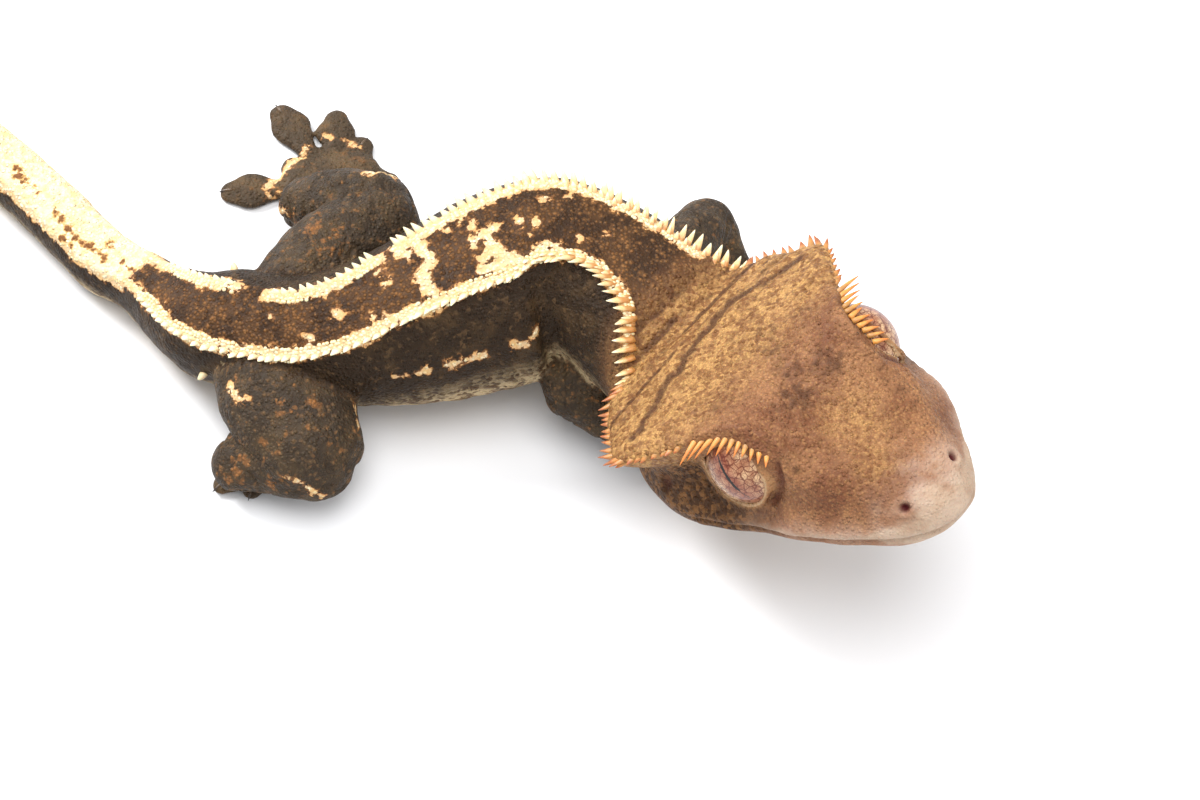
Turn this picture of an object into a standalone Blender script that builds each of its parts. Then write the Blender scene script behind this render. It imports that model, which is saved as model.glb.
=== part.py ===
"""Crested gecko, a still life-size model.

The animal lies in an S bend with its head raised and turned to its right, its hind legs folded and
its tail laid out behind it. It faces +X, its left side is towards +Y and +Z is up. Lengths in the
tables are millimetres; MM turns them into metres where a mesh is made.
"""

import math
import random

import bmesh
import bpy
import numpy as np
from mathutils import Matrix, Vector

MM = 0.001
GAP = 0.3                       # clearance between two pieces that touch
GROW_EXTRA = 1.08
WELDS = (0.0002, 0.001, 0.003, 0.008)       # distances to weld at, tried until a surface is closed
ORIGIN = (-40.12, 14.3, 0.0)     # bottom centre of the model's box, in the tables' own frame

# Driving dimensions of the head, in its own frame: x to the snout, y to the left, z to the crown
HEAD_PLACE = (19.1, -6.6, 21.5)             # midpoint between the eyes
HEAD_HEADING, HEAD_PITCH, HEAD_ROLL = -44.4, 25.7, 5.6
SNOUT_TIP = 19.85
SNOUT_ROUND_FROM = 14.0         # the muzzle is rounded off from here to its tip
SNOUT_AXIS_Z = -4.2
HEAD_REAR = -16.0               # the cut between head and neck
EYE_PLACE = (0.1, 6.7, 0.5)
EYE_RADIUS = 4.5
LID_PLACE = (0.3, 9.2, 1.0)     # middle of the eye's opening
LID_FACES = (0.15, 1.0, 0.25)
LID_RADIUS, LID_THICK = 3.9, 0.45
LID_STEPS, LID_SIDES = 16, 5
NOSTRIL, NOSTRIL_RADIUS = (16.7, 3.5, -1.75), 0.55
EAR, EAR_RADIUS = (-8.4, 11.2, -2.6), 1.0
CORNER_X, CORNER_Y = -9.7, 15.2

# Guide lines of the head, each as (x, z) on the middle plane or (x, half width, z) beside it
TOP_LINE = ((-17, 3.5), (-13, 4.4), (-9, 5.0), (-4, 5.2), (1, 4.6), (6, 3.0), (11, 1.2), (15, 0.0),
            (20.3, -1.6))
BROW = ((-17, 5.2, 3.3), (-13, 7.4, 4.4), (-8, 8.2, 5.2), (-3.5, 7.4, 5.9), (0.5, 6.6, 6.1), (4, 5.8, 5.0),
        (8, 4.4, 2.5), (12, 3.3, 0.8), (15, 2.6, -0.2), (20.3, 1.6, -1.8))
CROWN_EDGE = ((-17, 9.4, 2.8), (-13, 12.9, 3.4), (CORNER_X, CORNER_Y, 3.9), (-6, 13.4, 4.4),
              (-2.6, 11.0, 5.0), (0.5, 8.9, 5.1), (4, 8.0, 3.9), (7.2, 7.2, 1.9), (11, 5.7, 0.4),
              (15, 4.2, -0.9), (20.3, 2.6, -2.4))
CHEEK = ((-17, 9.4, -2.0), (-13, 11.0, -1.4), (CORNER_X, 12.0, -0.8), (-6, 11.0, -0.6), (-3.5, 9.7, -0.7),
         (0, 9.2, -1.2), (4, 8.8, -1.2), (7.2, 8.3, -1.2), (11, 7.1, -1.9), (15, 5.4, -2.6), (20.3, 3.6, -3.3))
LIP = ((-17, 9.6, -4.6), (-13, 12.0, -4.5), (-8, 13.2, -4.5), (-2, 12.3, -4.3), (2.6, 11.0, -4.1),
       (7, 9.9, -4.1), (12, 7.8, -4.2), (15, 6.1, -4.3), (20.3, 3.6, -4.6))
JAW = ((-17, 7.4, -7.5), (-13, 9.8, -7.8), (-8, 11.3, -7.8), (-2, 10.3, -7.4), (4, 8.8, -6.9), (11, 6.9, -6.5),
       (15, 5.3, -6.3), (20.3, 3.2, -6.0))
THROAT = ((-17, -8.5), (-12, -9.1), (-6, -9.2), (1, -8.6), (8, -7.9), (15, -7.1), (20.3, -6.4))
LEFT_FULLER = ((-17, 0.0), (-8, 0.0), (-2, 0.5), (4, 0.9), (9, 0.8), (14, 0.1), (20.3, 0.0))
TOP_FULL_Z = 2.5                # the left side is fuller only below this height
LEFT_EYE_OUT = 1.2              # the left eye is pushed out further than the right one
MOUTH_CORNER_X = -5.5
MOUTH_DROP = 0.55               # how far the mouth line runs below the lip's rim

# Body from the head joint back to the tail's tip:
# centre x, y, z, half width, half height, roll towards the left, angle from the back's top to the crest
BODY = (
    (9.8, 4.2, 13.8, 9.8, 6.8, -5, 60),     # head joint
    (5.4, 8.3, 13.2, 8.8, 7.1, 0, 50),      # nape
    (0.9, 12.8, 12.2, 8.5, 8.2, 4, 38),     # shoulders
    (-4.5, 15.3, 11.3, 9.3, 9.5, 6, 33),    # chest
    (-9.2, 13.9, 10.7, 9.8, 9.6, 6, 31),
    (-13.3, 12.4, 10.2, 9.3, 9.3, 5, 30),   # belly
    (-19.8, 10.2, 9.4, 8.0, 8.3, 0, 30),
    (-24.8, 9.5, 8.7, 7.0, 7.5, -13, 30),   # flank
    (-30.0, 9.6, 7.9, 6.3, 7.0, -21, 31),   # loin
    (-36.2, 11.2, 6.9, 6.0, 6.4, -19, 34),  # hips
    (-40.1, 12.4, 6.2, 5.2, 5.7, -12, 35),
    (-43.5, 15.2, 5.0, 3.9, 4.8, -6, 38),   # vent
    (-47.0, 18.5, 4.2, 3.1, 3.9, -3, 42),   # tail root
    (-51.1, 21.5, 3.8, 3.2, 3.7, 0, 45),
    (-56.8, 27.9, 3.5, 3.2, 3.5, 0, 45),
    (-62.3, 33.4, 3.3, 3.2, 3.3, 0, 45),
    (-70.5, 40.8, 3.0, 2.9, 3.0, 0, 45),
    (-80.5, 46.6, 2.5, 2.5, 2.5, 0, 45),
    (-92.0, 48.6, 2.0, 2.0, 2.0, 0, 45),
    (-102.5, 46.4, 1.6, 1.6, 1.6, 0, 45),
    (-108.6, 43.4, 1.1, 1.6, 1.2, 0, 45),
    (-112.6, 40.6, 0.8, 1.9, 0.9, 0, 45),   # grip pad
    (-114.8, 38.6, 0.6, 0.6, 0.5, 0, 45),
)
CREST_RIGHT_SHIFT = ((0, 0), (0.25, -10), (0.5, -18), (0.75, -24), (1.0, -26), (1.5, -22), (2.0, -15),
                     (2.5, -6), (3.0, -1), (3.5, 0), (4, 0), (5, 0))    # the bend draws it inwards
BACK_FLATNESS = 0.45            # share of the round back's rise that is left between the crests
BELLY_POWER = 0.85              # below 1 the belly is flatter than an ellipse

# Where the body is parted, as places in the table above
NECK_END, CHEST_END, BELLY_END, PELVIS_END = 1.7, 4.5, 7.0, 11.6
TAIL_BASE_END, TAIL_MIDDLE_END = 15.0, 18.0
OVERRUN = 0.12
HEADING_SPAN = 0.9              # a section faces along the path this far each way, so that none crosses the next
JOINT_CLEAR = 0.06              # no crest spine roots nearer to a joint than this
TRUNK_MESH, TAIL_MESH, CUTTER_MESH = (0.3, 24), (0.5, 14), (0.25, 28)      # step between rings, sides
BODY_LENGTHS = (
    ("neck", 0.0, NECK_END),
    ("chest", NECK_END, CHEST_END),
    ("belly", CHEST_END, BELLY_END),
    ("pelvis", BELLY_END, PELVIS_END),
    ("tail_base", PELVIS_END, TAIL_BASE_END),
    ("tail_middle", TAIL_BASE_END, TAIL_MIDDLE_END),
    ("tail_end", TAIL_MIDDLE_END, len(BODY) - 1.0),
)

# Limbs: each line is centre x, y, z, half width, half height
ARM_RIGHT = (((3.2, 9.2, 10.0, 3.4, 3.6), (0.4, 6.6, 9.0, 3.3, 3.4), (-3.1, 4.9, 6.9, 3.1, 3.0)),
             ((-2.7, 4.4, 6.2, 3.0, 2.9), (3.0, 1.8, 4.4, 2.9, 2.5), (8.6, -0.9, 2.6, 1.9, 1.8)))
ARM_LEFT = (((5.4, 13.2, 10.5, 3.4, 3.6), (8.2, 18.6, 9.2, 3.3, 3.4), (10.8, 23.3, 7.0, 3.1, 3.0)),
            ((11.2, 22.8, 6.2, 3.0, 2.9), (12.9, 19.6, 4.2, 2.8, 2.5), (15.0, 15.8, 2.6, 1.9, 1.8)))
LEG_LEFT = (((-31.4, 13.4, 7.4, 5.0, 4.6), (-27.4, 18.8, 7.6, 5.2, 4.8), (-22.6, 23.4, 7.0, 4.7, 4.4)),
            ((-22.6, 25.2, 6.8, 4.0, 4.1), (-27.0, 27.0, 5.6, 3.8, 3.6), (-30.6, 28.2, 3.8, 2.8, 2.6)))
LEG_RIGHT = (((-33.2, 9.0, 6.8, 6.0, 4.6), (-31.0, 3.0, 7.0, 6.8, 4.6), (-28.9, -1.6, 6.2, 5.6, 4.2)),
             ((-28.2, -2.6, 5.0, 4.6, 3.2), (-32.6, -2.2, 4.6, 3.9, 3.0), (-36.0, -2.4, 3.6, 3.0, 2.4)))

# Feet: palm centre and half sizes along and across, heading, then the toes' tips
PALM_HEIGHT = 1.3
HAND_RIGHT = ((11.2, -2.0), (3.0, 2.6), -25, 1.0,
              ((9.2, -5.6), (13.2, -6.2), (16.4, -4.4), (16.8, -0.4), (13.6, 2.4)))
HAND_LEFT = ((16.4, 14.4), (3.0, 2.6), -35, 1.0,
             ((13.6, 10.8), (17.4, 9.6), (20.8, 11.4), (21.2, 14.4), (19.6, 17.0)))
FOOT_LEFT = ((-28.0, 32.4), (5.2, 3.6), 10, 1.35,
             ((-39.3, 31.6), (-34.1, 42.2), (-27.8, 41.4), (-24.6, 38.0), (-21.4, 33.0)))
FOOT_RIGHT = ((-33.8, 0.4), (3.4, 2.8), -15, 1.0,
              ((-38.4, -3.8), (-35.0, -4.6), (-31.6, -4.2), (-28.6, -1.8), (-28.4, 2.8)))
TOE_NECK, TOE_PAD, TOE_THICK = 0.85, 1.6, 0.75      # half widths of a toe and its pad, half thickness
WEB_REACH, WEB_HALF = 0.55, 1.1                     # how far the skin between two toes goes, half its width
CLAW_LENGTH, CLAW_RADIUS = 1.0, 0.3
FLOOR_FLAT = 0.25               # depth by which a round underside is flattened on the floor
ARM_SPAN, LEG_SPAN = (0.5, 6.5), (6.0, 14.0)        # stretches of the body that a limb is cut clear of

# Crest spines: places in the body table, spacing along the crest, length and root radius at each end
CREST_FROM, CREST_TO = 0.1, 10.8
CREST_SPACING = 1.25
CREST_ROOT = 0.42
SPINE_LEAN_OUT, SPINE_LEAN_BACK = 0.6, 0.2
CREST_LENGTH = ((0.0, 1.5), (1.0, 2.0), (2.0, 2.0), (4.0, 1.7), (6.0, 1.3), (8.0, 1.0), (10.8, 0.7))
SPINE_SINK = 0.55               # share of a spine's length that is buried
SPINE_SIDES, SPINE_TIP = 4, 0.06
CROWN_SPACING = 1.15
CROWN_FROM = -2.2               # where the crown's row starts, behind the lashes
LASH_FROM, LASH_STEP, LASH_COUNT = 4.2, 0.95, 8

COLOURS = {
    "head": (0.45, 0.24, 0.09), "neck": (0.33, 0.18, 0.07), "chest": (0.10, 0.055, 0.025),
    "belly": (0.10, 0.055, 0.025), "pelvis": (0.11, 0.06, 0.03), "tail": (0.62, 0.47, 0.24),
    "limb": (0.11, 0.065, 0.03), "foot": (0.13, 0.085, 0.055), "eye": (0.42, 0.27, 0.23),
}
ROUGHNESS = {"eye": 0.08}
SKIN_ROUGHNESS = 0.62


def euler_matrix(heading, pitch, roll):
    """Turn of a frame whose x looks along heading and up by pitch, rolled about x."""
    return (Matrix.Rotation(math.radians(heading), 3, "Z")
            @ Matrix.Rotation(math.radians(-pitch), 3, "Y")
            @ Matrix.Rotation(math.radians(roll), 3, "X"))


HEAD_TURN = np.array(euler_matrix(HEAD_HEADING, HEAD_PITCH, HEAD_ROLL))


def from_head(point):
    """A place in the head's frame, in the tables' frame."""
    return HEAD_TURN @ np.asarray(point, float) + np.array(HEAD_PLACE)


def smooth(table, at):
    """Columns of a table read at places of its first column, on a curve with no kinks."""
    table = np.asarray(table, float)
    keys = table[:, 0]
    slopes = np.gradient(table[:, 1:], keys, axis=0)
    at = np.clip(np.asarray(at, float), keys[0], keys[-1])
    i = np.clip(np.searchsorted(keys, at) - 1, 0, len(keys) - 2)
    step = (keys[i + 1] - keys[i])[..., None]
    u = (at - keys[i])[..., None] / step
    return ((2 * u ** 3 - 3 * u ** 2 + 1) * table[i, 1:] + (u ** 3 - 2 * u ** 2 + u) * step * slopes[i]
            + (3 * u ** 2 - 2 * u ** 3) * table[i + 1, 1:] + (u ** 3 - u ** 2) * step * slopes[i + 1])


def unit(v):
    return v / np.linalg.norm(v)


# Scene, materials and meshes

def clear_scene():
    for old in list(bpy.data.objects):
        bpy.data.objects.remove(old)


def material(name, colour):
    mat = bpy.data.materials.new(name)
    mat.use_nodes = True
    shader = mat.node_tree.nodes["Principled BSDF"]
    shader.inputs["Base Color"].default_value = (*colour, 1.0)
    shader.inputs["Roughness"].default_value = ROUGHNESS.get(name.split("_")[0], SKIN_ROUGHNESS)
    shader.inputs["Metallic"].default_value = 0.0
    return mat


def mesh_object(name, bm, colour=None):
    """An object from mesh data in the tables' frame, moved to the model's origin and to metres."""
    bmesh.ops.translate(bm, verts=bm.verts, vec=-Vector(ORIGIN))
    bmesh.ops.scale(bm, verts=bm.verts, vec=(MM, MM, MM))
    bmesh.ops.recalc_face_normals(bm, faces=bm.faces)
    if bm.calc_volume(signed=True) < 0:
        bmesh.ops.reverse_faces(bm, faces=bm.faces)
    mesh = bpy.data.meshes.new(name)
    bm.to_mesh(mesh)
    bm.free()
    piece = bpy.data.objects.new(name, mesh)
    bpy.context.scene.collection.objects.link(piece)
    if colour is not None:
        mesh.materials.append(material(name + "_colour", COLOURS[colour]))
    return piece


def loft(name, rings, colour=None):
    """A closed body through rings of equal count, with a fan over each end."""
    bm = bmesh.new()
    rows = [[bm.verts.new(p) for p in ring] for ring in rings]
    count = len(rows[0])
    for a, b in zip(rows, rows[1:]):
        for k in range(count):
            n = (k + 1) % count
            bm.faces.new((a[k], a[n], b[n], b[k]))
    for row in (rows[0], rows[-1]):
        middle = bm.verts.new(sum((v.co for v in row), Vector()) / count)
        for k in range(count):
            bm.faces.new((row[k], row[(k + 1) % count], middle))
    return mesh_object(name, bm, colour)


def drop(piece):
    bpy.data.objects.remove(piece)


def boolean(piece, others, operation):
    """Join a piece with others, or cut it by them; the others are removed.

    The exact solver goes first. Where it leaves an open surface, the manifold solver does the work.
    """
    group = bpy.data.collections.new("cutters")
    bpy.context.scene.collection.children.link(group)
    for other in others:
        bpy.context.scene.collection.objects.unlink(other)
        group.objects.link(other)
        other.hide_render = True
        other.display_type = "WIRE"
    modifier = piece.modifiers.new("boolean", "BOOLEAN")
    modifier.operation = operation
    modifier.operand_type = "COLLECTION"
    modifier.collection = group
    for solver in ("EXACT", "MANIFOLD"):
        modifier.solver = solver
        bpy.context.view_layer.update()
        evaluated = piece.evaluated_get(bpy.context.evaluated_depsgraph_get())
        result = bpy.data.meshes.new_from_object(evaluated)
        keep_largest(result)
        if is_closed(result):
            break
    piece.modifiers.clear()
    piece.data = result
    for other in others:
        drop(other)
    bpy.data.collections.remove(group)


def is_closed(mesh):
    bm = bmesh.new()
    bm.from_mesh(mesh)
    closed = len(bm.faces) > 0 and all(len(edge.link_faces) == 2 for edge in bm.edges)
    bm.free()
    return closed


def keep_largest(mesh):
    """Keep the closed surface that encloses the most, and weld what a cut left nearly touching."""
    source = mesh.copy()
    for weld in WELDS:
        bm = bmesh.new()
        bm.from_mesh(source)
        bmesh.ops.triangulate(bm, faces=bm.faces)
        bmesh.ops.remove_doubles(bm, verts=bm.verts, dist=weld * MM)
        bmesh.ops.dissolve_degenerate(bm, edges=bm.edges, dist=weld * MM / 2)
        kept = largest_island(bm)
        bmesh.ops.delete(bm, geom=[f for f in bm.faces if f not in kept], context="FACES")
        bmesh.ops.delete(bm, geom=[v for v in bm.verts if not v.link_faces], context="VERTS")
        bm.to_mesh(mesh)
        bm.free()
        if is_closed(mesh):
            break
    bpy.data.meshes.remove(source)


def largest_island(bm):
    """The faces of the connected surface that encloses the most."""
    todo = set(bm.faces)
    best, best_volume = set(), -1.0
    while todo:
        stack = [todo.pop()]
        island = set(stack)
        while stack:
            for edge in stack.pop().edges:
                for face in edge.link_faces:
                    if face in todo:
                        todo.discard(face)
                        island.add(face)
                        stack.append(face)
        volume = abs(sum(f.calc_center_median().dot(f.normal) * f.calc_area() for f in island)) / 3.0
        if volume > best_volume:
            best, best_volume = island, volume
    return best


def trim(piece, point, outward):
    """Cut a piece flat at a plane and close it there; what lies outward goes."""
    point = (Vector(point) - Vector(ORIGIN)) * MM
    bm = bmesh.new()
    bm.from_mesh(piece.data)
    bmesh.ops.bisect_plane(bm, geom=bm.verts[:] + bm.edges[:] + bm.faces[:], dist=1e-7,
                           plane_co=point, plane_no=Vector(outward), clear_outer=True)
    rim = [e for e in bm.edges if e.is_boundary]
    if rim:
        bmesh.ops.triangle_fill(bm, use_beauty=True, use_dissolve=False, edges=rim, normal=Vector(outward))
    bmesh.ops.recalc_face_normals(bm, faces=bm.faces)
    bm.to_mesh(piece.data)
    bm.free()
    keep_largest(piece.data)


def grown(piece, by=GAP):
    """A copy of a piece with its surface moved out, used as a cutter that leaves clearance.

    GROW_EXTRA makes up for the flat faces between the moved corners.
    """
    copy = bpy.data.objects.new(piece.name + "_grown", piece.data.copy())
    bpy.context.scene.collection.objects.link(copy)
    bm = bmesh.new()
    bm.from_mesh(copy.data)
    moves = [v.normal * by * MM * GROW_EXTRA for v in bm.verts]
    for vert, move in zip(bm.verts, moves):
        vert.co += move
    bm.to_mesh(copy.data)
    bm.free()
    return copy


def finish(piece, sharp=40):
    piece.data.shade_smooth()
    piece.data.set_sharp_from_angle(angle=math.radians(sharp))


# Body

BODY_TABLE = np.column_stack([np.arange(len(BODY)), np.array(BODY, float)])


def body_frame(place):
    """Centre, axes, half sizes and the left and right crest's angles at a place in the body's table."""
    x, y, z, wide, high, roll, crest = smooth(BODY_TABLE, [place])[0]
    near = smooth(BODY_TABLE, [max(place - HEADING_SPAN, 0.0), min(place + HEADING_SPAN, len(BODY) - 1.0)])[:, :3]
    forward = unit(near[0] - near[1])
    if place < 1.0:
        forward = unit(forward * place + HEAD_TURN[:, 0] * (1.0 - place))
    left = unit(np.cross((0, 0, 1), forward))
    up = np.cross(forward, left)
    turn = math.radians(roll)
    left, up = left * math.cos(turn) - up * math.sin(turn), up * math.cos(turn) + left * math.sin(turn)
    shift = smooth(CREST_RIGHT_SHIFT, [place])[0, 0]
    crests = {1: math.radians(crest), -1: -math.radians(crest + shift)}
    return np.array((x, y, z)), forward, left, up, wide, high, crests


def body_point(place, angle, grow=0.0):
    """A place on the body's surface; the angle runs from the back's top to the left."""
    centre, _, left, up, wide, high, crests = body_frame(place)
    across = (wide + grow) * math.sin(angle)
    rise = math.cos(angle)
    edge = math.cos(crests[1 if across > 0 else -1])
    flat_top = math.cos(crests[1]) + BACK_FLATNESS * (1.0 - math.cos(crests[1]))
    flat_top = max(flat_top, math.cos(crests[-1]) - 0.03)
    if rise > edge:
        rise = edge + (rise - edge) / (1.0 - edge) * (flat_top - edge)
    elif rise < 0:
        rise = -abs(rise) ** BELLY_POWER
    point = centre + left * across + up * rise * (high + grow)
    point[2] = max(point[2], -grow)
    return point


def body_rings(start, end, step, sides, grow=0.0):
    """Rings between two places; both ends are exact."""
    count = max(2, round((end - start) / step) + 1)
    angles = [2 * math.pi * k / sides for k in range(sides)]
    return [[body_point(p, a, grow) for a in angles] for p in np.linspace(start, end, count)]


def spine(base, direction, length, radius):
    """One tapering spine, a slim pyramid whose root is buried in what it grows from."""
    direction = unit(direction)
    sink = length * SPINE_SINK
    bm = bmesh.new()
    bmesh.ops.create_cone(bm, cap_ends=True, segments=SPINE_SIDES, radius1=radius, radius2=SPINE_TIP,
                          depth=length + sink)
    turn = Vector(direction).to_track_quat("Z", "Y").to_matrix().to_4x4()
    place = Vector(base + direction * (length - sink) / 2)
    bmesh.ops.transform(bm, matrix=Matrix.Translation(place) @ turn, verts=bm.verts)
    return mesh_object("spine", bm)


def crest_spines(start, end, rng):
    """Both dorsolateral crests between two places in the body table."""
    spines = []
    for side in (-1, 1):
        place = start
        while place < end:
            centre, forward, left, _, _, _, crests = body_frame(place)
            base = body_point(place, crests[side])
            ahead = body_point(place + 0.05, body_frame(place + 0.05)[6][side])
            travel = np.linalg.norm(ahead - base) / 0.05
            length = float(smooth(CREST_LENGTH, [place])[0, 0]) * rng.uniform(0.88, 1.12)
            out = unit(unit(base - centre) + side * left * SPINE_LEAN_OUT - forward * SPINE_LEAN_BACK)
            spines.append(spine(base, out, length, CREST_ROOT * rng.uniform(0.9, 1.1)))
            place += CREST_SPACING * rng.uniform(0.9, 1.1) / travel
    return spines


def make_body(rng):
    """Neck, trunk and tail, each built a little long and cut back to its joints."""
    for name, start, end in BODY_LENGTHS:
        first, last = name == "neck", name == "tail_end"
        tail = name.startswith("tail")
        low = start if first else start - OVERRUN
        high = end if last else end + OVERRUN
        rings = body_rings(low, high, *(TAIL_MESH if tail else TRUNK_MESH))
        if first:
            lead = HEAD_TURN[:, 0] * 0.8
            rings.insert(0, [np.array(p) + lead for p in rings[0]])
        piece = loft(name, rings, "tail" if tail else name)
        crest_from, crest_to = max(start + JOINT_CLEAR, CREST_FROM), min(end - JOINT_CLEAR, CREST_TO)
        if crest_from < crest_to:
            boolean(piece, crest_spines(crest_from, crest_to, rng), "UNION")
        if first:
            trim(piece, from_head((HEAD_REAR - GAP, 0, 0)), HEAD_TURN[:, 0])
        else:
            centre, forward = body_frame(start)[:2]
            trim(piece, centre - forward * GAP / 2, forward)
        if not last:
            centre, forward = body_frame(end)[:2]
            trim(piece, centre + forward * GAP / 2, -forward)
        finish(piece)


# Head

def head_ring(x, half=11):
    """The head's section at x, from the middle of the crown down the left side and back up the right."""
    top, throat = smooth(TOP_LINE, [x])[0, 0], smooth(THROAT, [x])[0, 0]
    keys = [(0.0, top)] + [tuple(smooth(guide, [x])[0]) for guide in (BROW, CROWN_EDGE, CHEEK, LIP, JAW)]
    keys += [(keys[-1][0] * 0.5, throat * 0.85 + keys[-1][1] * 0.15), (0.0, throat)]
    table = np.column_stack([np.arange(len(keys)), np.array(keys)])
    points = smooth(table, np.linspace(0, len(keys) - 1, half + 1))
    fuller = smooth(LEFT_FULLER, [x])[0, 0] * np.clip((TOP_FULL_Z - points[:, 1]) / 2.0, 0.0, 1.0)
    fuller *= np.clip(points[:, 0] / 5.0, 0.0, 1.0)
    if x > SNOUT_ROUND_FROM:
        reach = (x - SNOUT_ROUND_FROM) / (SNOUT_TIP - SNOUT_ROUND_FROM)
        shrink = math.sqrt(max(1.0 - reach ** 2.4, 0.0))
        points[:, 0] *= shrink
        points[:, 1] = SNOUT_AXIS_Z + (points[:, 1] - SNOUT_AXIS_Z) * shrink
    right = [(-y, z) for y, z in points[-2:0:-1]]
    points[:, 0] += fuller
    return [from_head((x, y, z)) for y, z in list(points) + right]


def head_surface(x, key, side):
    """A place on one side's guide line: 0 is the crown's edge, 1 cheek, 2 lip, 3 jaw."""
    y, z = smooth((CROWN_EDGE, CHEEK, LIP, JAW)[key], [x])[0]
    if x > SNOUT_ROUND_FROM:
        shrink = math.sqrt(max(1.0 - ((x - SNOUT_ROUND_FROM) / (SNOUT_TIP - SNOUT_ROUND_FROM)) ** 2.4, 0.0))
        y, z = y * shrink, SNOUT_AXIS_Z + (z - SNOUT_AXIS_Z) * shrink
    if side > 0 and key > 0:
        y += smooth(LEFT_FULLER, [x])[0, 0]
    return np.array((x, y * side, z))


def eye_side(point, side):
    """A place at an eye, given on the left side, on either side; the left eye stands out further."""
    out = LEFT_EYE_OUT if side > 0 else 0.0
    return np.array((point[0], point[1] * side + out, point[2]))


def ball(name, place, radius, colour=None, segments=14, rings=8):
    bm = bmesh.new()
    bmesh.ops.create_uvsphere(bm, u_segments=segments, v_segments=rings, radius=radius)
    bmesh.ops.translate(bm, verts=bm.verts, vec=Vector(place))
    return mesh_object(name, bm, colour)


def lid(side):
    """The raised rim round an eye's opening."""
    faces = Vector(HEAD_TURN @ mirror_y(LID_FACES, side))
    turn = faces.to_track_quat("Z", "Y").to_matrix().to_4x4()
    middle = Vector(from_head(eye_side(LID_PLACE, side)))
    rings = []
    for k in range(LID_STEPS):
        a = 2 * math.pi * k / LID_STEPS
        rings.append([middle + turn @ Vector(((LID_RADIUS + LID_THICK * math.cos(b)) * math.cos(a),
                                              (LID_RADIUS + LID_THICK * math.cos(b)) * math.sin(a),
                                              LID_THICK * math.sin(b)))
                      for b in (2 * math.pi * j / LID_SIDES for j in range(LID_SIDES))])
    bm = bmesh.new()
    rows = [[bm.verts.new(p) for p in ring] for ring in rings]
    for a, b in zip(rows, rows[1:] + rows[:1]):
        for k in range(LID_SIDES):
            n = (k + 1) % LID_SIDES
            bm.faces.new((a[k], a[n], b[n], b[k]))
    return mesh_object("lid", bm)


def mirror_y(point, side):
    return np.array((point[0], point[1] * side, point[2]))


def crown_spines(rng):
    """Spines along the crown's edge from over the ear back past its corner, on both sides."""
    spines = []
    for side in (-1, 1):
        x = CROWN_FROM
        while x > HEAD_REAR + 0.5:
            base = head_surface(x, 0, 1)
            step = head_surface(x - 0.1, 0, 1) - base
            travel = np.linalg.norm(step) / 0.1
            corner = math.exp(-((x - CORNER_X) / 1.2) ** 2)
            length = (0.9 + 1.0 * corner) * rng.uniform(0.85, 1.15)
            out = np.array((-0.35 - 0.5 * corner, 1.0, 0.1)) if x > CORNER_X else np.array((-0.9, 0.75, 0.05))
            root = from_head(mirror_y(base - np.array((0, 0.15, 0.1)), side))
            spines.append(spine(root, HEAD_TURN @ mirror_y(out, side), length, 0.4))
            x -= CROWN_SPACING * rng.uniform(0.9, 1.1) / travel
    return spines


def lash_spines(rng):
    """The row of soft spines that overhangs each eye, longest at its rear."""
    spines = []
    for side in (-1, 1):
        for k in range(LASH_COUNT):
            x = LASH_FROM - LASH_STEP * k
            base = head_surface(x, 0, 1)
            length = 0.9 + 1.3 * (k / (LASH_COUNT - 1)) ** 2
            out = np.array((-0.25 - 0.08 * k, 1.0, 0.15))
            outer = LEFT_EYE_OUT * 0.5 if side > 0 else 0.0
            root = from_head(mirror_y(base + np.array((0, outer - 0.2, -0.15)), side))
            spines.append(spine(root, HEAD_TURN @ mirror_y(out, side), length * rng.uniform(0.9, 1.1), 0.38))
    return spines


def mouth_cutter():
    """A thin band that follows the lip round the snout and opens the line of the mouth."""
    reach = SNOUT_TIP - 0.02 - MOUTH_CORNER_X
    xs = [MOUTH_CORNER_X + reach * math.sin(math.pi / 2 * k / 12) for k in range(13)]
    drop_by = np.array((0, 0, MOUTH_DROP))
    path = [head_surface(x, 2, -1) - drop_by for x in xs]
    path += [head_surface(x, 2, 1) - drop_by for x in xs[-2::-1]]
    rings = []
    for p in path:
        out = unit(np.array((max(p[0] - 12.0, 0.0) * 0.6, p[1], 0.0)))
        rings.append([from_head(p + out * o + np.array((0, 0, h)))
                      for o, h in ((0.5, 0.2), (-0.45, 0.0), (0.5, -0.2))])
    return loft("mouth", rings)


def make_head(rng):
    depth = SNOUT_TIP - 0.03 - (HEAD_REAR - 0.8)
    xs = [HEAD_REAR - 0.8 + depth * math.sin(math.pi / 2 * k / 22) for k in range(23)]
    head = loft("head", [head_ring(x) for x in xs], "head")
    boolean(head, crown_spines(rng) + lash_spines(rng) + [lid(1), lid(-1)], "UNION")
    cutters = [mouth_cutter()]
    for side in (-1, 1):
        cutters.append(ball("socket", from_head(eye_side(EYE_PLACE, side)), EYE_RADIUS + GAP))
        cutters.append(ball("nostril", from_head(mirror_y(NOSTRIL, side)), NOSTRIL_RADIUS, segments=8, rings=6))
        cutters.append(ball("ear", from_head(mirror_y(EAR, side)), EAR_RADIUS, segments=8, rings=6))
    boolean(head, cutters, "DIFFERENCE")
    trim(head, from_head((HEAD_REAR, 0, 0)), -HEAD_TURN[:, 0])
    finish(head)
    for side, name in ((1, "eye_left"), (-1, "eye_right")):
        finish(ball(name, from_head(eye_side(EYE_PLACE, side)), EYE_RADIUS, "eye"))


# Limbs

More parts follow.
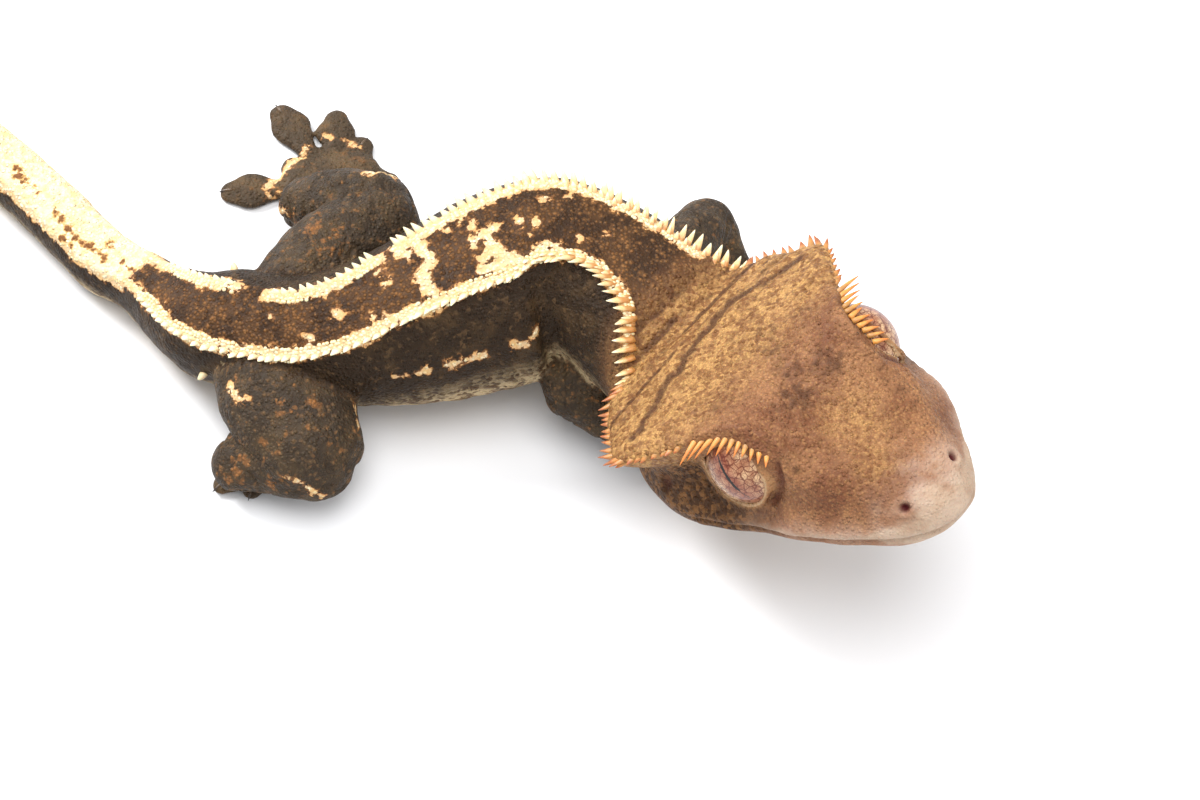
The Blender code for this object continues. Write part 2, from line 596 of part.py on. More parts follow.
def tube_rings(stations, count, sides, ends=(True, True)):
    """Rings along a short limb segment, drawn in to a round end where asked."""
    stations = np.array(stations, float)
    along = np.concatenate([[0], np.cumsum(np.linalg.norm(np.diff(stations[:, :3], axis=0), axis=1))])
    table = np.column_stack([along, stations])
    start = stations[0, 3] * 0.9 if ends[0] else 0.0
    stop = stations[-1, 3] * 0.9 if ends[1] else 0.0
    total = along[-1]
    first, last = unit(stations[1, :3] - stations[0, :3]), unit(stations[-1, :3] - stations[-2, :3])
    rings = []
    for k in range(count + 1):
        turn = math.pi * k / count
        s = -start + (total + start + stop) * (1 - math.cos(turn)) / 2
        x, y, z, wide, high = smooth(table, [s])[0]
        inner = min(max(s, 0.2), total - 0.2)
        forward = unit(smooth(table, [inner + 0.2])[0, :3] - smooth(table, [inner - 0.2])[0, :3])
        centre = np.array((x, y, z))
        shrink = 1.0
        if s < 0:
            centre = centre + first * s
            shrink = math.sqrt(max(1 - (s / start) ** 2, 0.0))
        elif s > total:
            centre = centre + last * (s - total)
            shrink = math.sqrt(max(1 - ((s - total) / stop) ** 2, 0.0))
        shrink = max(shrink, 0.12)
        side = unit(np.cross((0, 0, 1), forward))
        up = np.cross(forward, side)
        rings.append([centre + side * wide * shrink * math.cos(a) + up * high * shrink * math.sin(a)
                      for a in (2 * math.pi * j / sides for j in range(sides))])
    return rings


def stand_on_floor(piece):
    """Cut off what reaches below the floor, which leaves a flat sole."""
    trim(piece, (0, 0, 0), (0, 0, -1))


def make_foot(name, place, half, heading, spread, tips):
    """A palm with five padded, clawed toes and skin between them, flat below; spread widens the toes."""
    forward = np.array((math.cos(math.radians(heading)), math.sin(math.radians(heading)), 0))
    middle = np.array((*place, PALM_HEIGHT - FLOOR_FLAT))
    ends = [middle - forward * half[0] * 0.45, middle, middle + forward * half[0] * 0.45]
    stations = [(*p, half[1], PALM_HEIGHT) for p in ends]
    foot = loft(name, tube_rings(stations, 6, 10), "foot")
    parts = []
    for tip in tips:
        tip = np.array((*tip, TOE_THICK - FLOOR_FLAT))
        root = np.array((*place, TOE_THICK))
        reach = unit(tip - root)
        length = np.linalg.norm(tip - root)
        knuckle = root + reach * min(half) * 0.45
        neck, pad = TOE_NECK * spread, TOE_PAD * spread
        line = [(*knuckle, neck * 1.3, TOE_THICK), (*(root + reach * length * 0.5), neck, TOE_THICK),
                (*(root + reach * length * 0.76), pad, TOE_THICK * 0.9),
                (*(root + reach * (length - 0.7)), pad * 0.6, TOE_THICK * 0.8)]
        parts.append(loft("toe", tube_rings(line, 6, 6)))
        claw = spine(tip - reach * 0.5 + np.array((0, 0, 0.35)), reach * 1.0 + np.array((0, 0, -0.12)),
                     CLAW_LENGTH, CLAW_RADIUS)
        parts.append(claw)
    for first, second in zip(tips, tips[1:]):
        root = np.array((*place, TOE_THICK * 0.9))
        ends = [np.array((*tip, TOE_THICK * 0.9)) - root for tip in (first, second)]
        reach = min(np.linalg.norm(end) for end in ends) * WEB_REACH
        across = unit(unit(ends[0]) + unit(ends[1]))
        line = [(*(root + across * reach * t), WEB_HALF * spread, TOE_THICK * 0.9) for t in (0.3, 0.9)]
        parts.append(loft("web", tube_rings(line, 3, 6)))
    boolean(foot, parts, "UNION")
    stand_on_floor(foot)
    return foot


def body_cutter(start, end):
    return loft("body_cutter", body_rings(start, end, *CUTTER_MESH, GAP * 1.3))


def make_limb(names, segments, foot, body_span):
    """Upper and lower segment and foot of one limb, each cut clear of what it meets."""
    upper_name, lower_name, foot_name = names
    upper = loft(upper_name, tube_rings(segments[0], 11, 14), "limb")
    boolean(upper, [body_cutter(*body_span)], "DIFFERENCE")
    lower = loft(lower_name, tube_rings(segments[1], 11, 14), "limb")
    boolean(lower, [body_cutter(*body_span), grown(upper)], "DIFFERENCE")
    stand_on_floor(lower)
    sole = make_foot(foot_name, *foot)
    boolean(sole, [grown(lower), grown(upper)], "DIFFERENCE")
    for piece in (upper, lower, sole):
        finish(piece)


def main():
    clear_scene()
    rng = random.Random(11)
    make_body(rng)
    make_head(rng)
    make_limb(("upper_arm_right", "forearm_right", "hand_right"), ARM_RIGHT, HAND_RIGHT, ARM_SPAN)
    make_limb(("upper_arm_left", "forearm_left", "hand_left"), ARM_LEFT, HAND_LEFT, ARM_SPAN)
    make_limb(("thigh_left", "shank_left", "foot_left"), LEG_LEFT, FOOT_LEFT, LEG_SPAN)
    make_limb(("thigh_right", "shank_right", "foot_right"), LEG_RIGHT, FOOT_RIGHT, LEG_SPAN)
    gecko = bpy.data.collections.new("crested_gecko")
    bpy.context.scene.collection.children.link(gecko)
    for piece in list(bpy.context.scene.collection.objects):
        bpy.context.scene.collection.objects.unlink(piece)
        gecko.objects.link(piece)


main()
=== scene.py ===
"""Crested gecko: skin, spines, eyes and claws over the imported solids, with camera, light and floor.

The animal's sizes are the same named values as in its solids. Lengths are millimetres in the tables'
own frame until a mesh is made; to_metres moves them to the shared frame, in metres.
"""

import math
import random

import bmesh
import bpy
import numpy as np
from mathutils import Matrix, Vector, kdtree, noise


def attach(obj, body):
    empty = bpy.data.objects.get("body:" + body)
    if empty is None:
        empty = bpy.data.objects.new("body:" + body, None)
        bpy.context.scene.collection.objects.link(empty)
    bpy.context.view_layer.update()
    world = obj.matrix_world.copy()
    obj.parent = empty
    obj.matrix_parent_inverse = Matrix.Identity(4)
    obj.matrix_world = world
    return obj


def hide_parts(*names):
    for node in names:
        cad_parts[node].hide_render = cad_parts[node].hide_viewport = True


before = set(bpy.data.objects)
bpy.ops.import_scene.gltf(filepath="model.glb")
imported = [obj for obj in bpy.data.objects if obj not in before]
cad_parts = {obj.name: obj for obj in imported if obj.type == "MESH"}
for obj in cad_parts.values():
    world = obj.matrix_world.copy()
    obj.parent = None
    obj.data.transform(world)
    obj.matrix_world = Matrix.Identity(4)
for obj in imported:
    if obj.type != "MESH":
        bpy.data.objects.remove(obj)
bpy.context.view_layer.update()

MM = 0.001
ORIGIN = np.array((-40.12, 14.3, 0.0))

# Head, in its own frame: x to the snout, y to the left, z to the crown
HEAD_PLACE = np.array((19.1, -6.6, 21.5))
HEAD_HEADING, HEAD_PITCH, HEAD_ROLL = -44.4, 25.7, 5.6
SNOUT_TIP, SNOUT_ROUND_FROM, SNOUT_AXIS_Z = 19.85, 14.0, -4.2
HEAD_REAR = -16.0
EYE_PLACE, EYE_RADIUS = (0.1, 6.7, 0.5), 4.5
LID_PLACE, LID_FACES = (0.3, 9.2, 1.0), (0.15, 1.0, 0.25)
LID_RADIUS, LID_THICK = 3.9, 0.45
LID_STEPS, LID_SIDES = 64, 10
SOCKET_GAP = 0.05
LEFT_EYE_OUT = 1.2
NOSTRIL = (16.7, 3.5, -1.75)
EAR = (-8.4, 11.2, -2.6)
CORNER_X, CORNER_Y = -9.7, 15.2
TOP_LINE = ((-17, 3.5), (-13, 4.4), (-9, 5.0), (-4, 5.2), (1, 4.6), (6, 3.0), (11, 1.2), (15, 0.0),
            (20.3, -1.6))
BROW = ((-17, 5.2, 3.3), (-13, 7.4, 4.4), (-8, 8.2, 5.2), (-3.5, 7.4, 5.9), (0.5, 6.6, 6.1), (4, 5.8, 5.0),
        (8, 4.4, 2.5), (12, 3.3, 0.8), (15, 2.6, -0.2), (20.3, 1.6, -1.8))
CROWN_EDGE = ((-17, 9.4, 2.8), (-13, 12.9, 3.4), (CORNER_X, CORNER_Y, 3.9), (-6, 13.4, 4.4),
              (-2.6, 11.0, 5.0), (0.5, 8.9, 5.1), (4, 8.0, 3.9), (7.2, 7.2, 1.9), (11, 5.7, 0.4),
              (15, 4.2, -0.9), (20.3, 2.6, -2.4))
CHEEK = ((-17, 9.4, -2.0), (-13, 11.0, -1.4), (CORNER_X, 12.0, -0.8), (-6, 11.0, -0.6), (-3.5, 9.7, -0.7),
         (0, 9.2, -1.2), (4, 8.8, -1.2), (7.2, 8.3, -1.2), (11, 7.1, -1.9), (15, 5.4, -2.6),
         (20.3, 3.6, -3.3))
LIP = ((-17, 9.6, -4.6), (-13, 12.0, -4.5), (-8, 13.2, -4.5), (-2, 12.3, -4.3), (2.6, 11.0, -4.1),
       (7, 9.9, -4.1), (12, 7.8, -4.2), (15, 6.1, -4.3), (20.3, 3.6, -4.6))
JAW = ((-17, 7.4, -7.5), (-13, 9.8, -7.8), (-8, 11.3, -7.8), (-2, 10.3, -7.4), (4, 8.8, -6.9),
       (11, 6.9, -6.5), (15, 5.3, -6.3), (20.3, 3.2, -6.0))
THROAT = ((-17, -8.5), (-12, -9.1), (-6, -9.2), (1, -8.6), (8, -7.9), (15, -7.1), (20.3, -6.4))
LEFT_FULLER = ((-17, 0.0), (-8, 0.0), (-2, 0.5), (4, 0.9), (9, 0.8), (14, 0.1), (20.3, 0.0))
TOP_FULL_Z = 2.5
MOUTH_CORNER_X, MOUTH_DROP = -5.5, 0.55

# Body from the head joint back to the tail's tip:
# centre x, y, z, half width, half height, roll towards the left, angle from the back's top to the crest
BODY = (
    (9.8, 4.2, 13.8, 9.8, 6.8, -5, 60),
    (5.4, 8.3, 13.2, 8.8, 7.1, 0, 50),
    (0.9, 12.8, 12.2, 8.5, 8.2, 4, 38),
    (-4.5, 15.3, 11.3, 9.3, 9.5, 6, 33),
    (-9.2, 13.9, 10.7, 9.8, 9.6, 6, 31),
    (-13.3, 12.4, 10.2, 9.3, 9.3, 5, 30),
    (-19.8, 10.2, 9.4, 8.0, 8.3, 0, 30),
    (-24.8, 9.5, 8.7, 7.0, 7.5, -13, 30),
    (-30.0, 9.6, 7.9, 6.3, 7.0, -21, 31),
    (-36.2, 11.2, 6.9, 6.0, 6.4, -19, 34),
    (-40.1, 12.4, 6.2, 5.2, 5.7, -12, 35),
    (-43.5, 15.2, 5.0, 3.9, 4.8, -6, 38),
    (-47.0, 18.5, 4.2, 3.1, 3.9, -3, 42),
    (-51.1, 21.5, 3.8, 3.2, 3.7, 0, 45),
    (-56.8, 27.9, 3.5, 3.2, 3.5, 0, 45),
    (-62.3, 33.4, 3.3, 3.2, 3.3, 0, 45),
    (-70.5, 40.8, 3.0, 2.9, 3.0, 0, 45),
    (-80.5, 46.6, 2.5, 2.5, 2.5, 0, 45),
    (-92.0, 48.6, 2.0, 2.0, 2.0, 0, 45),
    (-102.5, 46.4, 1.6, 1.6, 1.6, 0, 45),
    (-108.6, 43.4, 1.1, 1.6, 1.2, 0, 45),
    (-112.6, 40.6, 0.8, 1.9, 0.9, 0, 45),
    (-114.8, 38.6, 0.6, 0.6, 0.5, 0, 45),
)
BODY_LAST = len(BODY) - 1.0
CREST_RIGHT_SHIFT = ((0, 0), (0.25, -10), (0.5, -18), (0.75, -24), (1.0, -26), (1.5, -22), (2.0, -15),
                     (2.5, -6), (3.0, -1), (3.5, 0), (4, 0), (5, 0))
BACK_FLATNESS, BELLY_POWER, HEADING_SPAN = 0.45, 0.85, 0.9

# Limbs: each line is centre x, y, z, half width, half height
ARM_RIGHT = (((3.2, 9.2, 10.0, 3.4, 3.6), (0.4, 6.6, 9.0, 3.3, 3.4), (-3.1, 4.9, 6.9, 3.1, 3.0)),
             ((-2.7, 4.4, 6.2, 3.0, 2.9), (3.0, 1.8, 4.4, 2.9, 2.5), (8.6, -0.9, 2.6, 1.9, 1.8)))
ARM_LEFT = (((5.4, 13.2, 10.5, 3.4, 3.6), (8.2, 18.6, 9.2, 3.3, 3.4), (10.8, 23.3, 7.0, 3.1, 3.0)),
            ((11.2, 22.8, 6.2, 3.0, 2.9), (12.9, 19.6, 4.2, 2.8, 2.5), (15.0, 15.8, 2.6, 1.9, 1.8)))
LEG_LEFT = (((-31.4, 13.4, 7.4, 5.0, 4.6), (-27.4, 18.8, 7.6, 5.2, 4.8), (-22.6, 23.4, 7.0, 4.7, 4.4)),
            ((-22.6, 25.2, 6.8, 4.0, 4.1), (-27.0, 27.0, 5.6, 3.8, 3.6), (-30.6, 28.2, 3.8, 2.8, 2.6)))
LEG_RIGHT = (((-33.2, 9.0, 6.8, 6.0, 4.6), (-31.0, 3.0, 7.0, 6.8, 4.6), (-28.9, -1.6, 6.2, 5.6, 4.2)),
             ((-28.2, -2.6, 5.0, 4.6, 3.2), (-32.6, -2.2, 4.6, 3.9, 3.0), (-36.0, -2.4, 3.6, 3.0, 2.4)))
LIMBS = {"arm_right": ARM_RIGHT, "arm_left": ARM_LEFT, "leg_left": LEG_LEFT, "leg_right": LEG_RIGHT}

# Feet: palm centre and half sizes along and across, heading, width of the toes, then the toes' tips
PALM_HEIGHT = 1.3
HAND_RIGHT = ((11.2, -2.0), (3.0, 2.6), -25, 1.0,
              ((9.2, -5.6), (13.2, -6.2), (16.4, -4.4), (16.8, -0.4), (13.6, 2.4)))
HAND_LEFT = ((16.4, 14.4), (3.0, 2.6), -35, 1.0,
             ((13.6, 10.8), (17.4, 9.6), (20.8, 11.4), (21.2, 14.4), (19.6, 17.0)))
FOOT_LEFT = ((-28.0, 32.4), (5.2, 3.6), 10, 1.35,
             ((-39.3, 31.6), (-34.1, 42.2), (-27.8, 41.4), (-24.6, 38.0), (-21.4, 33.0)))
FOOT_RIGHT = ((-33.8, 0.4), (3.4, 2.8), -15, 1.0,
              ((-38.4, -3.8), (-35.0, -4.6), (-31.6, -4.2), (-28.6, -1.8), (-28.4, 2.8)))
FEET = {"hand_right": HAND_RIGHT, "hand_left": HAND_LEFT, "foot_left": FOOT_LEFT, "foot_right": FOOT_RIGHT}
TOE_NECK, TOE_PAD, TOE_THICK = 0.85, 1.6, 0.75
WEB_REACH, WEB_HALF = 0.45, 1.1
CLAW_LENGTH, CLAW_RADIUS = 1.0, 0.3
FLOOR_FLAT = 0.25

SKIN_VOXEL = 0.2
SMOOTH_STEPS = 3

# Camera: it looks along +Y and down, as the photograph does
CAMERA_ELEVATION, CAMERA_DISTANCE = 60.0, 400.0
CAMERA_TARGET = np.array((0.0, 0.0, 12.0))
SENSOR, LENS = 36.0, 122.4


def euler_matrix(heading, pitch, roll):
    """Turn of a frame whose x looks along heading and up by pitch, rolled about x."""
    return np.array(Matrix.Rotation(math.radians(heading), 3, "Z")
                    @ Matrix.Rotation(math.radians(-pitch), 3, "Y")
                    @ Matrix.Rotation(math.radians(roll), 3, "X"))


HEAD_TURN = euler_matrix(HEAD_HEADING, HEAD_PITCH, HEAD_ROLL)


def from_head(points):
    """Places in the head's frame, in the tables' frame."""
    return np.asarray(points, float) @ HEAD_TURN.T + HEAD_PLACE


def to_head(points):
    """Places in the tables' frame, in the head's frame."""
    return (np.asarray(points, float) - HEAD_PLACE) @ HEAD_TURN


def to_metres(points):
    """Places in the tables' frame, in metres in the shared frame."""
    return (np.asarray(points, float) - ORIGIN) * MM


def from_metres(points):
    return np.asarray(points, float) / MM + ORIGIN


def smooth(table, at):
    """Columns of a table read at places of its first column, on a curve with no kinks."""
    table = np.asarray(table, float)
    keys = table[:, 0]
    slopes = np.gradient(table[:, 1:], keys, axis=0)
    at = np.clip(np.asarray(at, float), keys[0], keys[-1])
    i = np.clip(np.searchsorted(keys, at) - 1, 0, len(keys) - 2)
    step = (keys[i + 1] - keys[i])[..., None]
    u = (at - keys[i])[..., None] / step
    return ((2 * u ** 3 - 3 * u ** 2 + 1) * table[i, 1:] + (u ** 3 - 2 * u ** 2 + u) * step * slopes[i]
            + (3 * u ** 2 - 2 * u ** 3) * table[i + 1, 1:] + (u ** 3 - u ** 2) * step * slopes[i + 1])


def unit(v):
    return v / np.maximum(np.linalg.norm(v, axis=-1, keepdims=True), 1e-9)


def ramp(value, low, high):
    """0 below low, 1 above high, eased between."""
    t = np.clip((np.asarray(value, float) - low) / (high - low), 0.0, 1.0)
    return t * t * (3 - 2 * t)


def bell(distance, width):
    """1 at no distance, falling to nothing over about two widths."""
    return np.exp(-(np.asarray(distance, float) / width) ** 2)


def circle_angles(count):
    return np.linspace(0, 2 * math.pi, count, endpoint=False)


def mirror_y(point, side):
    return np.array((point[0], point[1] * side, point[2]))


def eye_side(point, side):
    """A place at an eye, given on the left side, on either side; the left eye stands out further."""
    out = LEFT_EYE_OUT if side > 0 else 0.0
    return np.array((point[0], point[1] * side + out, point[2]))


# Body surface

BODY_TABLE = np.column_stack([np.arange(len(BODY)), np.array(BODY, float)])


def body_frame(place):
    """Centre, axes, half sizes and the left and right crest's angles at a place in the body's table."""
    x, y, z, wide, high, roll, crest = smooth(BODY_TABLE, [place])[0]
    near = smooth(BODY_TABLE, [max(place - HEADING_SPAN, 0.0), min(place + HEADING_SPAN, BODY_LAST)])[:, :3]
    forward = unit(near[0] - near[1])
    if place < 1.0:
        forward = unit(forward * place + HEAD_TURN[:, 0] * (1.0 - place))
    left = unit(np.cross((0, 0, 1), forward))
    up = np.cross(forward, left)
    turn = math.radians(roll)
    left, up = left * math.cos(turn) - up * math.sin(turn), up * math.cos(turn) + left * math.sin(turn)
    shift = smooth(CREST_RIGHT_SHIFT, [place])[0, 0]
    crests = {1: math.radians(crest), -1: -math.radians(crest + shift)}
    return np.array((x, y, z)), forward, left, up, wide, high, crests


def body_ring(place, angles, grow=0.0):
    """Places round the body; angles run from the back's top to the left."""
    centre, _, left, up, wide, high, crests = body_frame(place)
    angles = np.asarray(angles, float)
    across = (wide + grow) * np.sin(angles)
    rise = np.cos(angles)
    edge = np.where(across > 0, math.cos(crests[1]), math.cos(crests[-1]))
    flat_top = math.cos(crests[1]) + BACK_FLATNESS * (1.0 - math.cos(crests[1]))
    flat_top = max(flat_top, math.cos(crests[-1]) - 0.03)
    top = edge + (rise - edge) / (1.0 - edge) * (flat_top - edge)
    rise = np.where(rise > edge, top, np.where(rise < 0, -np.abs(rise) ** BELLY_POWER, rise))
    points = centre + np.outer(across, left) + np.outer(rise * (high + grow), up)
    points[:, 2] = np.maximum(points[:, 2], 0.0)
    return points


def body_point(place, angle):
    return body_ring(place, [angle])[0]


# Head surface

def snout_shrink(x):
    """How far a section of the head at x is drawn in towards the snout's tip."""
    if x <= SNOUT_ROUND_FROM:
        return 1.0
    reach = min((x - SNOUT_ROUND_FROM) / (SNOUT_TIP - SNOUT_ROUND_FROM), 1.0)
    return math.sqrt(max(1.0 - reach ** 2.4, 0.0))


def head_ring(x, half=11):
    """The head's section at x, from the middle of the crown down the left side and back up the right."""
    top, throat = smooth(TOP_LINE, [x])[0, 0], smooth(THROAT, [x])[0, 0]
    keys = [(0.0, top)] + [tuple(smooth(guide, [x])[0]) for guide in (BROW, CROWN_EDGE, CHEEK, LIP, JAW)]
    keys += [(keys[-1][0] * 0.5, throat * 0.85 + keys[-1][1] * 0.15), (0.0, throat)]
    table = np.column_stack([np.arange(len(keys)), np.array(keys)])
    points = smooth(table, np.linspace(0, len(keys) - 1, half + 1))
    fuller = smooth(LEFT_FULLER, [x])[0, 0] * np.clip((TOP_FULL_Z - points[:, 1]) / 2.0, 0.0, 1.0)
    fuller *= np.clip(points[:, 0] / 5.0, 0.0, 1.0)
    shrink = snout_shrink(x)
    points[:, 0] *= shrink
    points[:, 1] = SNOUT_AXIS_Z + (points[:, 1] - SNOUT_AXIS_Z) * shrink
    right = [(x, -y, z) for y, z in points[-2:0:-1]]
    points[:, 0] += fuller
    return from_head([(x, y, z) for y, z in points] + right)


def head_line(guide, x, side, z_off=0.0):
    """A place on a guide line of the head, in the head's frame."""
    y, z = smooth(guide, [x])[0]
    shrink = snout_shrink(x)
    y, z = y * shrink, SNOUT_AXIS_Z + (z - SNOUT_AXIS_Z) * shrink
    if side > 0 and guide is not CROWN_EDGE:
        y += smooth(LEFT_FULLER, [x])[0, 0]
    return np.array((x, y * side, z + z_off))


# Mesh helpers, all in millimetres

def add_object(name, data):
    thing = bpy.data.objects.new(name, data)
    bpy.context.scene.collection.objects.link(thing)
    return thing


def bent_mesh(thing):
    """A new mesh of an object as its modifiers leave it."""
    bpy.context.view_layer.update()
    return bpy.data.meshes.new_from_object(thing.evaluated_get(bpy.context.evaluated_depsgraph_get()))


def set_mark(mesh, name, values):
    """One number for each vertex, for the mesh's material."""
    layer = mesh.attributes.new(name, "FLOAT", "POINT")
    layer.data.foreach_set("value", np.asarray(values, np.float32))


class Shape:
    """Vertices and faces gathered from several closed parts."""

    def __init__(self):
        self.verts, self.faces, self.marks = [], [], []

    def add(self, points, faces, marks):
        """Points with their faces, and for each point what it belongs to: kind, place, angle."""
        base = len(self.verts)
        self.verts.extend(np.asarray(points, float).tolist())
        self.faces.extend([[base + i for i in face] for face in faces])
        self.marks.extend(np.broadcast_to(np.asarray(marks, float), (len(points), 3)).tolist())

    def loft(self, rings, kind, places=None):
        """A closed tube through rings of equal count, with a fan over each end."""
        rings = [np.asarray(ring, float) for ring in rings]
        count = len(rings[0])
        places = np.zeros(len(rings)) if places is None else np.asarray(places, float)
        turns = circle_angles(count)
        turns = np.where(turns > math.pi, turns - 2 * math.pi, turns)
        marks = [(kind, place, turn) for place in places for turn in turns]
        marks += [(kind, places[0], 0.0), (kind, places[-1], 0.0)]
        points = np.concatenate(rings + [rings[0].mean(0)[None], rings[-1].mean(0)[None]])
        faces = []
        for row in range(len(rings) - 1):
            a, b = row * count, (row + 1) * count
            faces += [(a + k, b + k, b + (k + 1) % count, a + (k + 1) % count) for k in range(count)]
        first, last = len(rings) * count, len(rings) * count + 1
        end = (len(rings) - 1) * count
        faces += [(k, (k + 1) % count, first) for k in range(count)]
        faces += [(end + (k + 1) % count, end + k, last) for k in range(count)]
        self.add(points, faces, marks)

    def mesh(self, name):
        mesh = bpy.data.meshes.new(name)
        mesh.from_pydata(self.verts, [], self.faces)
        mesh.validate()
        bm = bmesh.new()
        bm.from_mesh(mesh)
        bmesh.ops.recalc_face_normals(bm, faces=bm.faces)
        bm.to_mesh(mesh)
        bm.free()
        return mesh


def tube_rings(stations, count, sides):
    """Rings along a short limb segment, drawn in to round ends."""
    stations = np.array(stations, float)
    along = np.concatenate([[0], np.cumsum(np.linalg.norm(np.diff(stations[:, :3], axis=0), axis=1))])
    table = np.column_stack([along, stations])
    start, stop, total = stations[0, 3] * 0.9, stations[-1, 3] * 0.9, along[-1]
    first, last = unit(stations[1, :3] - stations[0, :3]), unit(stations[-1, :3] - stations[-2, :3])
    angles = circle_angles(sides)
    rings = []
    for k in range(count + 1):
        s = -start + (total + start + stop) * (1 - math.cos(math.pi * k / count)) / 2
        x, y, z, wide, high = smooth(table, [s])[0]
        inner = min(max(s, 0.2), total - 0.2)
        forward = unit(smooth(table, [inner + 0.2])[0, :3] - smooth(table, [inner - 0.2])[0, :3])
        centre = np.array((x, y, z)) + first * min(s, 0.0) + last * max(s - total, 0.0)
        beyond = -s / start if s < 0 else max(s - total, 0.0) / stop
        shrink = max(math.sqrt(max(1 - beyond ** 2, 0.0)), 0.02)
        side = unit(np.cross((0, 0, 1), forward))
        up = np.cross(forward, side)
        rings.append(centre + np.outer(np.cos(angles), side) * wide * shrink
                     + np.outer(np.sin(angles), up) * high * shrink)
    return rings


def toe_lines(place, half, spread, tips):
    """Stations of each toe, from its knuckle to its tip."""
    lines = []
    for tip in tips:
        tip = np.array((*tip, TOE_THICK - FLOOR_FLAT))
        root = np.array((*place, TOE_THICK))
        reach, length = unit(tip - root), np.linalg.norm(tip - root)
        knuckle = root + reach * min(half) * 0.45
        neck, pad = TOE_NECK * spread, TOE_PAD * spread
        lines.append([(*knuckle, neck * 1.3, TOE_THICK), (*(root + reach * length * 0.5), neck, TOE_THICK),
                      (*(root + reach * length * 0.76), pad, TOE_THICK * 0.9),
                      (*(root + reach * (length - 0.7)), pad * 0.6, TOE_THICK * 0.8)])
    return lines


def web_lines(place, spread, tips):
    """Stations of the skin between neighbouring toes."""
    lines = []
    root = np.array((*place, TOE_THICK * 0.9))
    for first, second in zip(tips, tips[1:]):
        ends = [np.array((*tip, TOE_THICK * 0.9)) - root for tip in (first, second)]
        reach = min(np.linalg.norm(end) for end in ends) * WEB_REACH
        across = unit(unit(ends[0]) + unit(ends[1]))
        lines.append([(*(root + across * reach * t), WEB_HALF * spread, TOE_THICK * 0.9) for t in (0.3, 0.9)])
    return lines


def palm_line(place, half, heading):
    forward = np.array((math.cos(math.radians(heading)), math.sin(math.radians(heading)), 0))
    middle = np.array((*place, PALM_HEIGHT - FLOOR_FLAT))
    return [(*(middle + forward * half[0] * t), half[1], PALM_HEIGHT) for t in (-0.45, 0.0, 0.45)]


def lid_rings(side):
    """A ring of skin round an eye's opening."""
    turn = np.array(Vector(mirror_y(LID_FACES, side)).to_track_quat("Z", "Y").to_matrix())
    middle = eye_side(LID_PLACE, side)
    rings = []
    for a in circle_angles(LID_STEPS):
        b = circle_angles(LID_SIDES)
        reach = LID_RADIUS + LID_THICK * np.cos(b)
        local = np.column_stack([reach * math.cos(a), reach * math.sin(a), LID_THICK * np.sin(b)])
        rings.append(from_head(local @ turn.T + middle))
    return rings


def closed_ring_faces(steps, sides):
    return [(i * sides + k, i * sides + (k + 1) % sides,
             ((i + 1) % steps) * sides + (k + 1) % sides, ((i + 1) % steps) * sides + k)
            for i in range(steps) for k in range(sides)]


def ball_mesh(name, centre, radius, segments=48, rings=32):
    bm = bmesh.new()
    bmesh.ops.create_uvsphere(bm, u_segments=segments, v_segments=rings, radius=radius)
    bmesh.ops.translate(bm, verts=bm.verts, vec=Vector(centre))
    mesh = bpy.data.meshes.new(name)
    bm.to_mesh(mesh)
    bm.free()
    return mesh


# Skin

HEAD, BODY_KIND, LIMB, FOOT, LID = range(5)


def rough_skin():
    """Closed parts that run into each other, in millimetres, before they are made one surface."""
    body = Shape()
    angles = circle_angles(96)
    places = np.linspace(0.0, BODY_LAST, 360)
    rings = [body_ring(place, angles) for place in places]
    rings.insert(0, rings[0] + HEAD_TURN[:, 0] * 1.5)
    body.loft(rings, BODY_KIND, np.concatenate([[0.0], places]))
    for number, (upper, lower) in enumerate(LIMBS.values()):
        body.loft(tube_rings(upper, 28, 40), LIMB, np.full(29, number))
        body.loft(tube_rings(lower, 28, 40), LIMB, np.full(29, number + 0.5))
    for number, (place, half, heading, spread, tips) in enumerate(FEET.values()):
        body.loft(tube_rings(palm_line(place, half, heading), 20, 32), FOOT, np.full(21, number))
        for line in toe_lines(place, half, spread, tips):
            body.loft(tube_rings(line, 20, 20), FOOT, number + np.linspace(0.1, 0.9, 21))
        for line in web_lines(place, spread, tips):
            body.loft(tube_rings(line, 10, 16), FOOT, np.full(11, number))
    head = Shape()
    xs = HEAD_REAR - 1.5 + (SNOUT_TIP - 0.01 - HEAD_REAR + 1.5) * np.sin(np.linspace(0, math.pi / 2, 110))
    head.loft([head_ring(x, half=70) for x in xs], HEAD)
    return body, head


def carve_head(head):
    """The head's form with a round socket for each eye."""
    carved = add_object("head_form", head.mesh("head_form"))
    sockets = []
    for side in (-1, 1):
        centre = from_head(eye_side(EYE_PLACE, side))
        socket = add_object("socket", ball_mesh("socket", centre, EYE_RADIUS + SOCKET_GAP))
        cut = carved.modifiers.new("socket", "BOOLEAN")
        cut.operation, cut.object, cut.solver = "DIFFERENCE", socket, "EXACT"
        sockets.append(socket)
    mesh = bent_mesh(carved)
    for old in [carved] + sockets:
        bpy.data.objects.remove(old)
    return mesh


def make_skin():
    """One surface over neck, trunk, tail, limbs and head, open at the eyes' sockets."""
    body, head = rough_skin()
    head_mesh = carve_head(head)
    body.add(Surface(head_mesh).co, [tuple(p.vertices) for p in head_mesh.polygons], (HEAD, 0, 0))
    for side in (-1, 1):
        body.add(np.concatenate(lid_rings(side)), closed_ring_faces(LID_STEPS, LID_SIDES), (LID, side, 0))
    skin = add_object("skin", body.mesh("skin"))
    remesh = skin.modifiers.new("remesh", "REMESH")
    remesh.mode, remesh.voxel_size = "VOXEL", SKIN_VOXEL
    mesh = bent_mesh(skin)
    skin.modifiers.clear()
    skin.data = mesh
    return skin, np.array(body.verts), np.array(body.marks)


